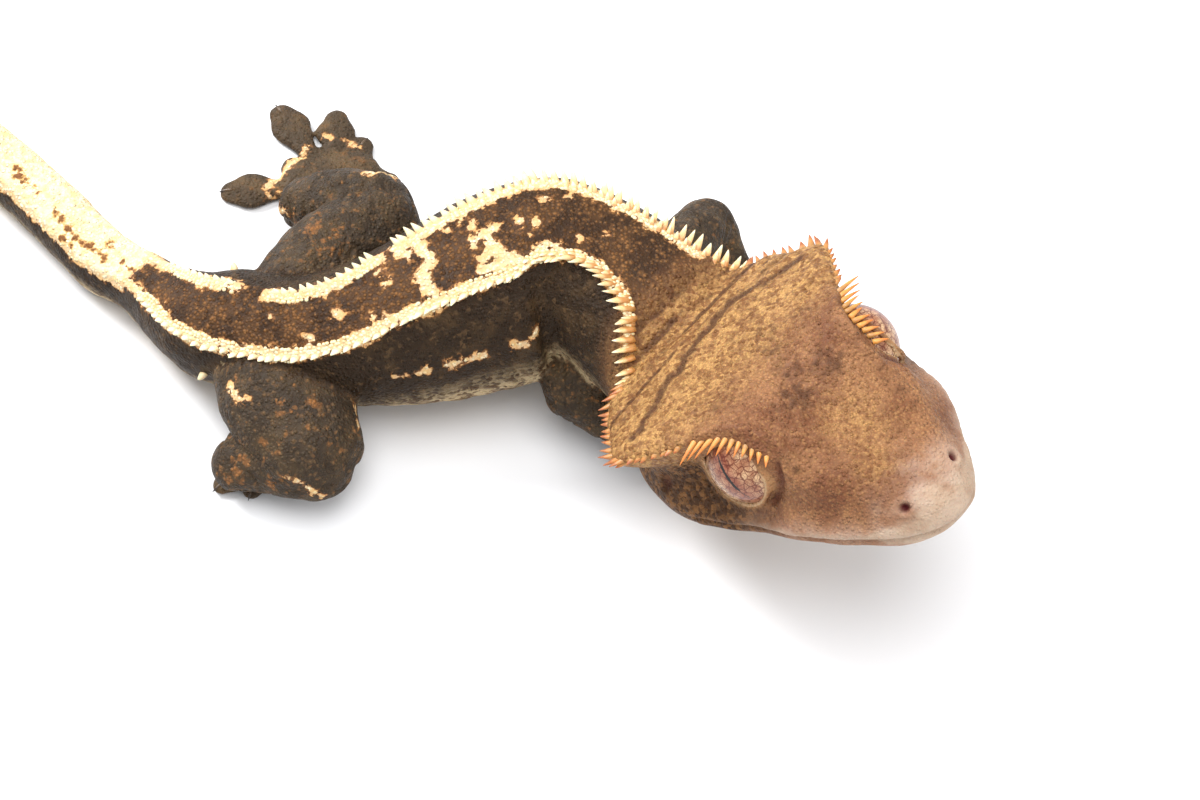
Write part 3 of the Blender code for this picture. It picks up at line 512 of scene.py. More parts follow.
class Surface:
    """The skin's vertices as arrays, with its edges, for moves and marks made by formula."""

    def __init__(self, mesh):
        self.mesh = mesh
        self.count = len(mesh.vertices)
        co = np.zeros(self.count * 3)
        mesh.vertices.foreach_get("co", co)
        self.co = co.reshape(-1, 3)
        ends = np.zeros(len(mesh.edges) * 2, int)
        mesh.edges.foreach_get("vertices", ends)
        self.ends = ends.reshape(-1, 2)
        self.degree = np.bincount(self.ends.ravel(), minlength=self.count)[:, None].astype(float)

    def spread(self, values, steps=1):
        """Values moved halfway towards their neighbours' mean, so many times."""
        values = np.asarray(values, float)
        flat = values.reshape(self.count, -1)
        for _ in range(steps):
            total = np.zeros_like(flat)
            for column in range(flat.shape[1]):
                total[:, column] += np.bincount(self.ends[:, 0], flat[self.ends[:, 1], column], self.count)
                total[:, column] += np.bincount(self.ends[:, 1], flat[self.ends[:, 0], column], self.count)
            flat = flat + (total / np.maximum(self.degree, 1) - flat) * 0.5
        return flat.reshape(values.shape)

    def normals(self):
        self.write()
        out = np.zeros(self.count * 3, np.float32)
        self.mesh.vertex_normals.foreach_get("vector", out)
        return out.reshape(-1, 3).astype(float)

    def write(self):
        self.mesh.vertices.foreach_set("co", self.co.astype(np.float32).ravel())
        self.mesh.update()

    def mark(self, name, values):
        set_mark(self.mesh, name, values)


def nearest_samples(points, samples):
    """Index of the nearest sample to each point."""
    tree = kdtree.KDTree(len(samples))
    for i, sample in enumerate(samples):
        tree.insert(sample, i)
    tree.balance()
    return np.array([tree.find(point)[1] for point in points])


# Spines, claws and other small pieces

PATCH = 0.003
RING_AT = np.array((-0.45, -0.1, 0.12, 0.38, 0.62, 0.82, 0.95))
RING_WIDE = np.array((1.2, 1.12, 0.92, 0.72, 0.5, 0.3, 0.13))


class Coat:
    """Many small tapering pieces in one mesh, marked from root to tip, each with its own patch to bake."""

    def __init__(self, name, sides=7):
        self.name, self.sides, self.count = name, sides, 0
        self.points, self.along, self.tone, self.uvs = [], [], [], []
        angles = circle_angles(sides)
        self.circle = np.column_stack([np.cos(angles), np.sin(angles)])
        self.around = np.abs(angles / math.pi - 1.0)

    def spine(self, base, direction, length, radius, wide=(0, 0, 1), flat=1.0, bend=(0, 0, 0), tone=0.0,
              patch=(0.5, 0.5), blunt=0.0):
        """A curved cone; wide is the direction its section is broader in, flat its thickness there."""
        direction = unit(np.asarray(direction, float))
        thin = unit(np.cross(direction, wide))
        broad = np.cross(thin, direction)
        profile = RING_WIDE + blunt * (np.sqrt(np.clip(1.0 - RING_AT ** 2, 0.0, 1.0)) - RING_WIDE)
        middle = (np.asarray(base, float) + np.outer(RING_AT * length, direction)
                  + np.outer(np.maximum(RING_AT, 0) ** 2 * length, bend))
        offset = self.circle[:, :1] * broad + self.circle[:, 1:] * thin * flat
        rings = middle[:, None, :] + profile[:, None, None] * radius * offset[None]
        tip = np.asarray(base, float) + direction * length + np.asarray(bend, float) * length
        self.points.append(np.concatenate([rings.reshape(-1, 3), tip[None]]))
        at = np.concatenate([np.repeat(np.clip(RING_AT, 0, 1), self.sides), [1.0]])
        self.along.append(at)
        self.tone.append(np.full(len(at), tone))
        u = np.concatenate([np.tile(self.around, len(RING_AT)), [0.5]])
        self.uvs.append(np.column_stack([patch[0] + PATCH * (u - 0.5), patch[1] + PATCH * (at - 0.5)]))
        self.count += 1

    def head_spine(self, root, out, length, radius, wide, flat, bend, tone):
        """A spine whose root and directions are given in the head's frame."""
        out, wide, bend = (HEAD_TURN @ np.asarray(way, float) for way in (out, wide, bend))
        self.spine(from_head(root), out, length, radius, wide, flat, bend, tone, head_patch(*root[:2]))

    def build(self):
        rows, sides = len(RING_AT), self.sides
        size = rows * sides + 1
        quads = [(r * sides + k, r * sides + (k + 1) % sides, (r + 1) * sides + (k + 1) % sides,
                  (r + 1) * sides + k) for r in range(rows - 1) for k in range(sides)]
        fan = [((rows - 1) * sides + k, (rows - 1) * sides + (k + 1) % sides, size - 1) for k in range(sides)]
        faces = [tuple(i + size * n for i in face) for n in range(self.count) for face in
                 quads + fan + [tuple(range(sides - 1, -1, -1))]]
        mesh = bpy.data.meshes.new(self.name)
        mesh.from_pydata(to_metres(np.concatenate(self.points)).tolist(), [], faces)
        set_mark(mesh, "along", np.concatenate(self.along))
        set_mark(mesh, "tone", np.concatenate(self.tone))
        corners = np.zeros(len(mesh.loops), int)
        mesh.loops.foreach_get("vertex_index", corners)
        bake = mesh.uv_layers.new(name="OFBake")
        bake.data.foreach_set("uv", np.concatenate(self.uvs)[corners].astype(np.float32).ravel())
        mesh.update()
        mesh.shade_smooth()
        return add_object(self.name, mesh)


def body_patch(place, angle):
    """Where a place on the body lies on the coat's unwrap."""
    return 0.02 + 0.96 * place / BODY_LAST, 0.02 + 0.46 * (angle / (2 * math.pi) % 1.0)


def shake(rng, spread):
    """A small random step in any direction."""
    return np.array([rng.gauss(0, spread) for _ in range(3)])


def head_patch(x, y):
    """Where a place on the head, seen from above, lies on the coat's unwrap."""
    return 0.02 + 0.46 * (x - HEAD_REAR) / (SNOUT_TIP - HEAD_REAR), 0.75 + 0.22 * y / CORNER_Y


CREST_FROM, CREST_TO, CREST_STEP = -0.15, 11.2, 1.0
CREST_LENGTH = ((-0.15, 1.1), (0.0, 1.3), (1.0, 1.75), (2.0, 1.75), (4.0, 1.45), (6.0, 1.15), (8.0, 0.85),
                (11.2, 0.6))
CREST_ROOT = 0.55
NECK_TRAVEL = 9.0
# Up to CREST_WHOLE_TO the spines run on over gaps in the cream; up to CLUSTERS_TO each root has two
CREST_WHOLE_TO, CLUSTERS_TO = 5, 4.0
SPUR_PLACE, SPUR_ANGLE = 9.35, math.radians(74)
SPUR_LENGTH, SPUR_RADIUS = 0.8, 0.42
BEAD_STEP, BEADS_FROM, BEADS_MISSING = 0.46, 0.3, 0.2
BEAD_LENGTH, BEAD_RADIUS = (0.24, 0.34), (0.2, 0.29)
BEAD_ROWS = (-0.95, -0.55, -0.15, 0.25)


def crest_base(place, side, off=0.0):
    """A root on a crest, off millimetres down the flank from its ridge, and the way out there."""
    place = max(place, 0.0)
    centre, forward, left, _, wide, _, crests = body_frame(place)
    angle = crests[side] + side * off / wide
    base = body_point(place, angle)
    return base, unit(base - centre), forward, left, angle


def crest_places(step, rng, start=CREST_FROM):
    """Places along a crest, step millimetres apart on its ridge, for both sides."""
    for side in (-1, 1):
        place = start
        while place < CREST_TO:
            yield side, place
            travel = NECK_TRAVEL
            if place > 0:
                travel = np.linalg.norm(crest_base(place + 0.05, side)[0] - crest_base(place, side)[0]) / 0.05
            place += step * rng.uniform(0.8, 1.2) / travel


def make_crest(rng):
    """Both dorsolateral crests: clusters of flat, pointed spines on the neck, saw teeth behind it."""
    coat = Coat("crest_spines", 8)
    for side, place in crest_places(CREST_STEP, rng):
        if place > CREST_WHOLE_TO and in_gap(side, place):
            continue
        full = smooth(CREST_LENGTH, [place])[0, 0]
        for k in range(2 if place < CLUSTERS_TO else 1):
            off = rng.uniform(-0.12, 0.12) - 0.5 * k
            root, away, forward, left, angle = crest_base(place + rng.uniform(-0.02, 0.02), side, off)
            out = unit(away + side * left * 0.75 - forward * (0.2 + 0.5 * ramp(place, 3, 6)))
            length = full * rng.uniform(0.85, 1.12) * (1.0 if k == 0 else rng.uniform(0.35, 0.7))
            out = out + shake(rng, 0.06)
            radius = CREST_ROOT * rng.uniform(0.85, 1.1) * (1 - 0.25 * (k > 0))
            coat.spine(root - out * 0.1, out, length, radius, forward, 0.5,
                       -forward * rng.uniform(0.05, 0.2), 1.0 - 0.8 * ramp(place, 1.6, 3.6),
                       body_patch(place, angle), 0.25 * ramp(place, 7, 9))
    return coat.build()


def make_spurs():
    """The pale bony spur at each side of the vent."""
    coat = Coat("vent_spurs", 16)
    for side in (-1, 1):
        centre, forward = body_frame(SPUR_PLACE)[:2]
        root = body_point(SPUR_PLACE, side * SPUR_ANGLE)
        coat.spine(root, unit(root - centre), SPUR_LENGTH, SPUR_RADIUS, forward, 0.9, -forward * 0.35, 0.0,
                   body_patch(SPUR_PLACE, side * SPUR_ANGLE), 0.8)
    return coat.build()


def in_gap(side, place):
    """Whether a place on a crest lies where its cream streak breaks off."""
    spans = CREAM_LEFT if side > 0 else CREAM_RIGHT
    return not any(start < place < end for start, end, _, _ in spans)


def make_beads(rng):
    """Rounded granules that lie side by side along the cream streaks."""
    coat = Coat("crest_beads", 8)
    for side, place in crest_places(BEAD_STEP, rng, BEADS_FROM):
        if in_gap(side, place):
            continue
        for row in BEAD_ROWS:
            if rng.random() < BEADS_MISSING:
                continue
            root, away, forward, _, angle = crest_base(place + rng.uniform(-0.02, 0.02), side,
                                                       row + rng.uniform(-0.12, 0.12))
            tan = 1.0 if rng.random() < (0.4 if row < -0.7 else 0.1) else 0.0
            coat.spine(root - away * 0.1, away, rng.uniform(*BEAD_LENGTH), rng.uniform(*BEAD_RADIUS), forward,
                       0.85, (0, 0, 0), tan, body_patch(place, angle), 1.0)
    return coat.build()


CROWN_FROM, CROWN_TO = -3.6, HEAD_REAR + 0.3
CROWN_STEP, CROWN_RADIUS, CROWN_BEND = 0.95, 0.37, (-0.12, 0, 0.05)
CROWN_JOIN, JOIN_RADIUS = (0.15, 0.38, 0.6, 0.82), 0.36
LASHES, LASH_FROM, LASH_SPAN, LASH_RADIUS = 11, 4.6, 6.8, 0.27


def on_skin(point):
    """The skin's vertex that is nearest a place, once the skin is in the shared frame."""
    far = ((surface.co - to_metres(point)) ** 2).sum(axis=1)
    return from_metres(surface.co[np.argmin(far)])


def crown_root(x, side):
    return head_line(CROWN_EDGE, x, side) - np.array((0, 0.15 * side, 0.1))


def crown_edge_spines(coat, side, rng):
    """Spines along one edge of the crown, longest and doubled at its corner."""
    x = CROWN_FROM
    while x > CROWN_TO:
        step = head_line(CROWN_EDGE, x - 0.1, side) - head_line(CROWN_EDGE, x, side)
        travel = np.linalg.norm(step) / 0.1
        corner = math.exp(-((x - CORNER_X) / 1.2) ** 2)
        before = x > CORNER_X
        way = np.array((0.2 - 0.9 * corner, side, -0.1) if before else (-0.9, 0.75 * side, 0.05))
        for k in range(2 if corner > 0.3 else 1):
            length = ((0.7 if before else 1.0) + 0.95 * corner) * rng.uniform(0.75, 1.15)
            length *= 1.0 if k == 0 else rng.uniform(0.5, 0.8)
            root = crown_root(x + rng.uniform(-0.15, 0.15), side) + np.array((0, 0, -0.35 * k))
            out = unit(way) + shake(rng, 0.08)
            coat.head_spine(root, out, length, CROWN_RADIUS * rng.uniform(0.85, 1.15),
                            (1.0, 0.4 * side, 0), 0.6, CROWN_BEND, rng.random())
        x -= CROWN_STEP * rng.uniform(0.85, 1.15) / travel


def crown_join_spines(coat, side, rng):
    """Spines on the skin between the crown's rear and the start of the crest."""
    last, first = from_head(crown_root(CROWN_TO, side)), crest_base(0.0, side)[0]
    out = unit(HEAD_TURN @ np.array((-0.35, side, 0.1)))
    for t in CROWN_JOIN:
        root = on_skin(last + (first - last) * t + shake(rng, 0.08))
        coat.spine(root - out * 0.1, out, rng.uniform(0.9, 1.25), JOIN_RADIUS, HEAD_TURN[:, 0], 0.6,
                   HEAD_TURN @ np.array(CROWN_BEND), rng.random(),
                   head_patch(HEAD_REAR, CORNER_Y * side * t))


def make_crown(rng):
    """Spines along the crown's edge from the ear back past its corner, and on to the crest."""
    coat = Coat("crown_spines")
    for side in (-1, 1):
        crown_edge_spines(coat, side, rng)
        crown_join_spines(coat, side, rng)
    return coat.build()


def make_lashes(rng):
    """The row of soft spines that overhangs each eye, longest at its rear."""
    coat = Coat("lash_spines", 9)
    for side in (-1, 1):
        outer = LEFT_EYE_OUT * 0.5 if side > 0 else 0.0
        for k in range(LASHES):
            t = k / (LASHES - 1)
            root = head_line(CROWN_EDGE, LASH_FROM - LASH_SPAN * t, side)
            root = root + np.array((0, (outer - 0.1) * side, 0.05))
            length = (1.1 + 1.3 * t ** 2) * rng.uniform(0.85, 1.1)
            out = unit(np.array((0.6 - 0.7 * t + rng.gauss(0, 0.1), side * (0.8 + 0.2 * t), -0.1)))
            coat.head_spine(root, out, length, LASH_RADIUS * rng.uniform(0.9, 1.1), (1, 0, 0), 0.8,
                            (-0.1, 0, -0.18), rng.random())
    return coat.build()


def make_claws():
    """A short claw at the tip of every toe."""
    coat = Coat("claws", 9)
    for place, _, _, _, tips in FEET.values():
        for number, tip in enumerate(tips):
            tip = np.array((*tip, TOE_THICK - FLOOR_FLAT))
            reach = unit(tip - np.array((*place, TOE_THICK)))
            coat.spine(tip - reach * 0.5 + np.array((0, 0, 0.35)), reach + np.array((0, 0, 0.1)), CLAW_LENGTH,
                       CLAW_RADIUS, (0, 0, 1), 0.6, (0, 0, -0.25), 0.5,
                       (0.55 + 0.02 * number, 0.6 + 0.001 * place[0]))
    return coat.build()


GAZE, SLIT_RISES = (0.3, 1.0, 0.42), (-0.6, 0.0, 1.0)


def make_eye(side):
    """An eyeball with its marks: across and along the slit, and how far round from the gaze."""
    name = "eye_ball_left" if side > 0 else "eye_ball_right"
    centre = from_head(eye_side(EYE_PLACE, side))
    mesh = ball_mesh(name, (0, 0, 0), EYE_RADIUS, 160, 100)
    eye = add_object(name, mesh)
    marks = Surface(mesh)
    gaze = HEAD_TURN @ unit(mirror_y(GAZE, side))
    slit = HEAD_TURN @ np.array(SLIT_RISES)
    slit = unit(slit - gaze * (slit @ gaze))
    across = np.cross(gaze, slit)
    local = marks.co / EYE_RADIUS
    marks.mark("gaze", local @ gaze)
    marks.mark("slit_along", local @ slit)
    marks.mark("slit_across", local @ across)
    marks.co = to_metres(marks.co + centre)
    marks.write()
    mesh.shade_smooth()
    return eye


# Where the markings and folds are: on the body by place and angle in degrees, on the head by its own
# places, on the limbs by x, y, z. A half width or radius follows each; then, for some, an amount or depth.
# A crest's cream has its start, end, inset towards the back's middle, and half width.

TAIL_FROM = 11.7
CREAM_RIGHT = ((0.45, 11.9, 0.35, 0.62),)
CREAM_LEFT = ((0.95, 5.8, 0.45, 0.72), (6.05, 8.35, 0.3, 0.72), (8.85, 11.9, 0.3, 0.7))
CREAM_LINES = (
    (((5.45, 24), (5.4, 14), (5.35, 4), (5.5, -4), (5.5, -14), (5.45, -24)), 0.72),
    (((5.7, 22), (5.6, 16)), 0.6),
    (((4.5, 0), (4.2, 4), (3.9, 4)), 0.5),
    (((4.15, 2), (4.1, -8), (4.45, -13)), 0.5),
    (((4.1, -8), (4.0, -14), (3.8, -20), (3.6, -25)), 0.7),
    (((4.6, -20), (4.3, -20), (3.9, -22)), 0.6),
    (((3.0, -25), (2.8, -20), (2.6, -20), (2.4, -25)), 0.55),
    (((1.7, 46), (1.3, 44), (1.0, 46)), 0.7),
    (((6.3, -68), (5.8, -71)), 0.22),
    (((5.55, -71), (5.1, -72)), 0.42),
    (((4.5, -72), (4.2, -73)), 0.3),
    (((3.9, -70), (3.6, -68)), 0.3),
)
CREAM_SPOTS = ((7.0, 0, 0.55), (7.5, -15, 0.5), (7.55, -21, 0.5), (6.2, -20, 0.4), (6.35, -16, 0.3),
               (4.3, 16, 0.35), (4.4, 12, 0.4), (3.0, 16, 0.42), (3.1, 27, 0.35), (2.7, 20, 0.25),
               (3.4, 0, 0.32), (3.1, -4, 0.3), (3.3, -12, 0.25), (2.3, -8, 0.3), (6.1, 16, 0.35),
               (6.0, 4, 0.25), (4.9, 19, 0.3), (4.6, 20, 0.25), (2.0, 4, 0.2), (8.2, 8, 0.2))
TAIL_DASHES = (
    (((13.7, -12), (13.3, -22), (12.9, -16), (12.5, -22)), 0.3),
    (((14.5, -16), (14.1, -12)), 0.28),
    (((13.4, -42), (13.2, -40)), 0.25),
    (((14.6, -2), (14.4, -4)), 0.22),
    (((12.8, 12), (12.7, 10)), 0.2),
    (((12.2, -8), (11.8, -12)), 0.25),
)
NAPE_FOLDS = (
    (((-9.8, 12.2), (-10.5, 8.9), (-11.8, 6.3), (-12.8, 3.7), (-12, 0), (-11, -3.9), (-10, -7.8),
      (-8.8, -12.2)), 0.38, 1.0),
    (((-15.8, 8.3), (-16, 2.8), (-15, -4.2), (-13.8, -6.8)), 0.45, 0.55),
    (((-2.2, 7.6), (-4.4, 5.2), (-5.6, 2.0)), 0.5, 0.5),
    (((-18.0, 7.0), (-18.4, 0.0), (-17.2, -6.5), (-15.6, -10.5)), 0.45, 0.55),
)
HEAD_BLOTCHES = ((2.5, -1.3, 2.4, 0.9), (2.8, 3.4, 2.2, 0.75), (0.2, 0.8, 2.2, 0.6), (-3.0, 1.5, 2.6, 0.5),
                 (8.2, 6.2, 2.4, 0.4), (7.4, -6.6, 1.9, 0.35), (12.2, -4.4, 1.8, 0.35), (-7.5, 2.5, 2.4, 0.4),
                 (12.4, 1.2, 1.5, 0.3), (-2.5, -6.0, 1.6, 0.4))
GOLD_SPOTS = ((8.2, 0.6, 3.4, 0.6), (12.8, -1.9, 2.0, 0.55))
NOSTRIL_SHAPE, EAR_SHAPE = (1.0, 1.0, 1.2), (1.15, 0.8, 0.7)
BROW_ARC = ((-3.6, -9.6, 5.0), (-1.5, -9.4, 5.7), (-0.5, -8.2, 6.1), (2.3, -6.9, 5.7), (5, -6.1, 4.4),
            (7.2, -6.6, 2.7))
EYE_FOLD = ((5.5, -7.6, 2.8), (5.6, -8.2, 1.2), (5.1, -8.7, -0.4), (3.9, -9.1, -1.7))
# A thin film of skin before the right eye goes without the lid's pale paint, which showed as a dot
THIN_LID, THIN_LID_WIDE = (3.9, -8.65, -1.2), 0.8
# Distance from the eyeball, then depth
EYE_WRINKLES = ((1.45, 0.12), (2.2, 0.11), (3.0, 0.08))
DASH_SEED, DASHES_FROM, DASHES_TO, DASH_EVERY = 5, 15.2, 21.0, 0.33
LIMB_CREAM = (
    (((-23.6, 28.0, 9.6), (-22.4, 28.6, 9.4), (-21.2, 28.2, 9.2)), 0.55),
    (((-34.7, 32.0, 1.5), (-33.2, 33.4, 1.6), (-31.9, 35.2, 1.5), (-30.6, 36.7, 1.5)), 0.42),
    (((-34.4, 30.6, 1.3), (-33.4, 30.2, 1.6)), 0.45),
    (((-33.2, 28.4, 3.6), (-32.9, 27.2, 4.6), (-32.4, 25.6, 5.4)), 0.42),
    (((-29.1, 38.2, 1.1), (-27.2, 37.8, 1.2), (-25.5, 37.0, 1.2)), 0.2),
    (((-36.6, 2.8, 9.9), (-36.2, 2.1, 10.0), (-35.7, 1.3, 10.1), (-34.8, 0.8, 10.4)), 0.3),
    (((-30.5, -6.2, 7.4), (-29.5, -6.6, 6.9), (-28.5, -6.8, 6.1), (-27.4, -7.0, 5.2)), 0.22),
    (((-24.1, 1.6, 7.9), (-23.8, -0.4, 7.8)), 0.2),
)
LIMB_ORANGE = ((-30.9, -1.5, 10.6, 0.9), (-30.8, -0.2, 11.0, 1.3), (-28.2, 0.4, 10.8, 1.1),
               (-26.6, -3.2, 9.6, 1.0), (-36.0, -4.4, 5.4, 1.6), (-32.4, -6.0, 6.0, 1.1),
               (-29.2, 20.4, 11.8, 1.4), (-27.0, 18.2, 12.3, 1.6), (-25.6, 19.4, 12.2, 1.0),
               (-28.8, 24.2, 9.6, 0.9), (-28.0, 37.2, 1.6, 1.3), (-26.0, 36.6, 1.6, 1.4),
               (-25.2, 34.6, 2.2, 1.2), (-30.8, 34.0, 2.2, 1.0))


def line_distance(points, line):
    """Distance of each point from a line of straight pieces."""
    best = np.full(len(points), 1e9)
    for a, b in zip(np.asarray(line[:-1], float), np.asarray(line[1:], float)):
        along = np.clip(((points - a) @ (b - a)) / max((b - a) @ (b - a), 1e-9), 0, 1)
        best = np.minimum(best, np.linalg.norm(points - a - along[:, None] * (b - a), axis=1))
    return best


def rounded(line, times=2):
    """A line with its corners cut."""
    line = np.asarray(line, float)
    for _ in range(times):
        a, b = line[:-1], line[1:]
        cut = np.stack([a * 0.75 + b * 0.25, a * 0.25 + b * 0.75], axis=1).reshape(-1, line.shape[1])
        line = np.vstack([line[:1], cut, line[-1:]])
    return line


def inside(points, line, half):
    """0.5 on the edge of a band round a line, more inside it, less outside; 1 spans two millimetres."""
    return np.clip(0.5 + (half - line_distance(points, line)) / 2, 0, 1)


def field(points, size, seed, stretch=(1, 1, 1)):
    """Smooth random values from about -1 to 1, size millimetres from one to the next."""
    scaled = np.asarray(points) * np.asarray(stretch) / size + seed * 17.3
    return np.array([noise.noise(p) for p in scaled.tolist()]) * 1.6


def crest_line(side, start, end, inset):
    """Points along a crest, inset millimetres towards the back's middle."""
    line = []
    for place in np.arange(start, end, 0.12):
        _, _, _, _, wide, _, crests = body_frame(place)
        line.append(body_point(place, crests[side] - side * inset / wide))
    return line


def on_body(pairs):
    return [body_point(place, math.radians(angle)) for place, angle in pairs]


def spots(points, table):
    """Bells round table's places, each with its width, and the larger where they meet."""
    best = np.zeros(len(points))
    for *place, wide in table:
        best = np.maximum(best, bell(np.linalg.norm(points - np.array(place), axis=1), wide))
    return best


class Skin:
    """The skin's vertices with what they belong to, its folds and its marks."""

    def __init__(self, surface, samples, marks):
        self.surface = surface
        kind, self.place, self.angle = marks[nearest_samples(surface.co, samples)].T
        self.is_head = self.soft((kind == HEAD) | (kind == LID), 4)
        self.is_body = self.soft(kind == BODY_KIND, 4)
        self.is_limb = self.soft(kind == LIMB, 6)
        self.is_foot = self.soft(kind == FOOT, 6)
        keys = np.linspace(0, BODY_LAST, 200)
        crests = [body_frame(place)[6] for place in keys]
        left, right = (np.interp(self.place, keys, [both[side] for both in crests]) for side in (1, -1))
        self.past_left, self.past_right = self.angle - left, right - self.angle
        h = self.head = to_head(surface.co)
        self.flat = h[:, :2] + 0.3 * np.stack([field(h, 1.6, 21), field(h, 1.6, 22)], axis=1)
        self.ripple = field(h, 1.25, 3, (1.5, 0.12, 0.2))
        self.lip_z = np.interp(h[:, 0], [k[0] for k in LIP], [k[2] for k in LIP])

    def soft(self, mask, steps):
        return self.surface.spread(mask.astype(float), steps)

    def features(self, side):
        """Distances from a side's nostril, ear, brow, fold before the eye, and eyeball."""
        h = self.head
        aside = np.array((0, LEFT_EYE_OUT * 0.5 if side > 0 else 0.0, 0))
        nostril = np.linalg.norm((h - mirror_y(NOSTRIL, side)) * NOSTRIL_SHAPE, axis=1)
        ear = np.linalg.norm((h - mirror_y(EAR, side)) * EAR_SHAPE, axis=1)
        brow, fold = (line_distance(h, [mirror_y(p, -side) + aside for p in line])
                      for line in (BROW_ARC, EYE_FOLD))
        ball = np.linalg.norm(h - eye_side(EYE_PLACE, side), axis=1) - EYE_RADIUS
        return nostril, ear, brow, fold, ball

    def shape_mouth(self, out):
        """The line of the mouth between two soft lips, with shallow notches on the upper one."""
        h = self.head
        shrink = np.array([snout_shrink(x) for x in np.clip(h[:, 0], HEAD_REAR, SNOUT_TIP)])
        rise = h[:, 2] - (SNOUT_AXIS_Z + (self.lip_z - SNOUT_AXIS_Z) * shrink - MOUTH_DROP)
        there = self.is_head * ramp(h[:, 0], MOUTH_CORNER_X - 0.6, MOUTH_CORNER_X + 0.8)
        out += there * (-0.42 * bell(rise, 0.24) + 0.13 * bell(rise - 0.75, 0.45)
                        + 0.1 * bell(rise + 0.65, 0.4))
        scales = np.sin((h[:, 0] + 0.35 * np.abs(h[:, 1])) * 2 * math.pi / 1.25)
        out -= there * 0.05 * ramp(scales, 0.75, 1.0) * bell(rise - 0.7, 0.5)

    def shape_face(self, out):
        """Nostrils, ears, the rolls over the eyes and the folds and wrinkles round them."""
        h, on_head = self.head, self.is_head
        top = ramp(h[:, 2], -1.0, 1.0)
        for side in (-1, 1):
            nostril, ear, brow, fold, ball = self.features(side)
            out += on_head * (-0.6 * bell(nostril, 0.42) + 0.14 * bell(nostril - 0.85, 0.35))
            out += on_head * (-0.9 * bell(ear, 0.85) + 0.15 * bell(ear - 1.3, 0.35))
            out += on_head * (0.26 * bell(brow, 0.5) - 0.16 * bell(brow - 1.0, 0.45) * top)
            out -= on_head * top * (0.13 * bell(brow - 1.9, 0.26) + 0.1 * bell(brow - 2.8, 0.26))
            out -= on_head * 0.5 * bell(fold, 0.4)
            for far, deep in EYE_WRINKLES:
                out -= on_head * deep * bell(ball - far - 0.1 * field(h, 2.0, 33), 0.24)

    def shape_nape(self, out):
        """The folds that cross the rear of the crown, and the fine pleats of the neck."""
        h = self.head
        nape = ramp(h[:, 2], 0.5, 2.5) * (1 - ramp(h[:, 0], -4, 0))
        nape = nape * (1 - self.is_limb) * ramp(h[:, 0], -22, -17)
        for line, half, depth in NAPE_FOLDS:
            out -= nape * 0.055 * depth * bell(line_distance(self.flat, rounded(line)), half)
        out -= 0.13 * nape * self.ripple * (1 - ramp(h[:, 0], -12, -8))

    def shape_body(self, out):
        """Unevenness of the flanks and limbs, creases of the limbs, and the raised crests."""
        co = self.surface.co
        flank = self.is_body * ramp(np.abs(self.angle), 0.9, 1.3) * (1 - ramp(self.place, 11, 13))
        out += 0.1 * flank * field(co, 1.3, 5, (1.0, 0.35, 0.35))
        out += 0.07 * field(co, 3.0, 7) + 0.04 * field(co, 1.1, 9) * (1 - 0.5 * self.is_head)
        out += 0.12 * (self.is_limb + 0.4 * self.is_foot) * field(co, 1.9, 13)
        crease = 1 - ramp(np.abs(field(co, 2.0, 17, (1.0, 0.35, 0.7))), 0.0, 0.2)
        out -= 0.22 * self.is_limb * crease * ramp(field(co, 5.0, 19), -0.3, 0.3)
        crests = bell(self.past_left * 6.0, 0.55) + bell(self.past_right * 6.0, 0.55)
        out += 0.16 * self.is_body * crests * (1 - ramp(self.place, 11.5, 14))

    def sculpt(self):
        """Move the vertices along their normals, less so close to the floor."""
        surface, normals = self.surface, self.surface.normals()
        out = np.zeros(surface.count)
        for shape in (self.shape_mouth, self.shape_face, self.shape_nape, self.shape_body):
            shape(out)
        free = 1 - 0.75 * ramp(0.6 - surface.co[:, 2], 0, 0.5)
        surface.co = surface.co + normals * (surface.spread(out, 1) * free)[:, None]
        surface.co[:, 2] = np.maximum(surface.co[:, 2], 0.0)
        surface.write()

    def deepest(self, lines):
        """How deep a place lies in the nearest of many bands, as inside gives it."""
        best = np.zeros(self.surface.count)
        for line, half in lines:
            best = np.maximum(best, inside(self.surface.co, line, half))
        return best

    def cream(self):
        """How deep a place lies in the cream marks, as inside gives it."""
        lines = [(crest_line(side, start, end, inset), half) for side, spans in
                 ((-1, CREAM_RIGHT), (1, CREAM_LEFT)) for start, end, inset, half in spans]
        lines += [(on_body(pairs), half) for pairs, half in CREAM_LINES]
        lines += [(on_body([(p, a), (p + 0.04, a)]), r) for p, a, r in CREAM_SPOTS]
        best = np.maximum(self.deepest(lines) * self.is_body, self.deepest(LIMB_CREAM))
        off = np.degrees(np.abs(self.angle - 0.1))
        tail = ramp(self.place, TAIL_FROM - 0.35, TAIL_FROM + 0.35) * (1 - ramp(off, 48, 82))
        return np.maximum(best, tail * self.is_body)

    def dashes(self):
        """How deep a place lies in the brown dashes along the tail."""
        lines = [(on_body(pairs), half) for pairs, half in TAIL_DASHES]
        draw = random.Random(DASH_SEED)
        for place in np.arange(DASHES_FROM, DASHES_TO, DASH_EVERY):
            a = draw.uniform(-40, 40)
            end = (place + draw.uniform(0.05, 0.25), a + draw.uniform(-8, 8))
            lines.append((on_body([(place, a), end]), draw.uniform(0.12, 0.3)))
        return self.deepest(lines) * self.is_body

    def mark_trunk(self):
        mark, body = self.surface.mark, self.is_body
        mark("cream", self.cream())
        mark("dash", self.dashes())
        mark("flank", body * np.maximum(ramp(self.past_left, 0.0, 0.09), ramp(self.past_right, 0.0, 0.09)))
        under = body * ramp(np.degrees(np.abs(self.angle)), 84, 112)
        throat = self.is_head * (1 - ramp(self.head[:, 2], -8.2, -6.4))
        mark("belly", np.clip(under + throat, 0, 1))

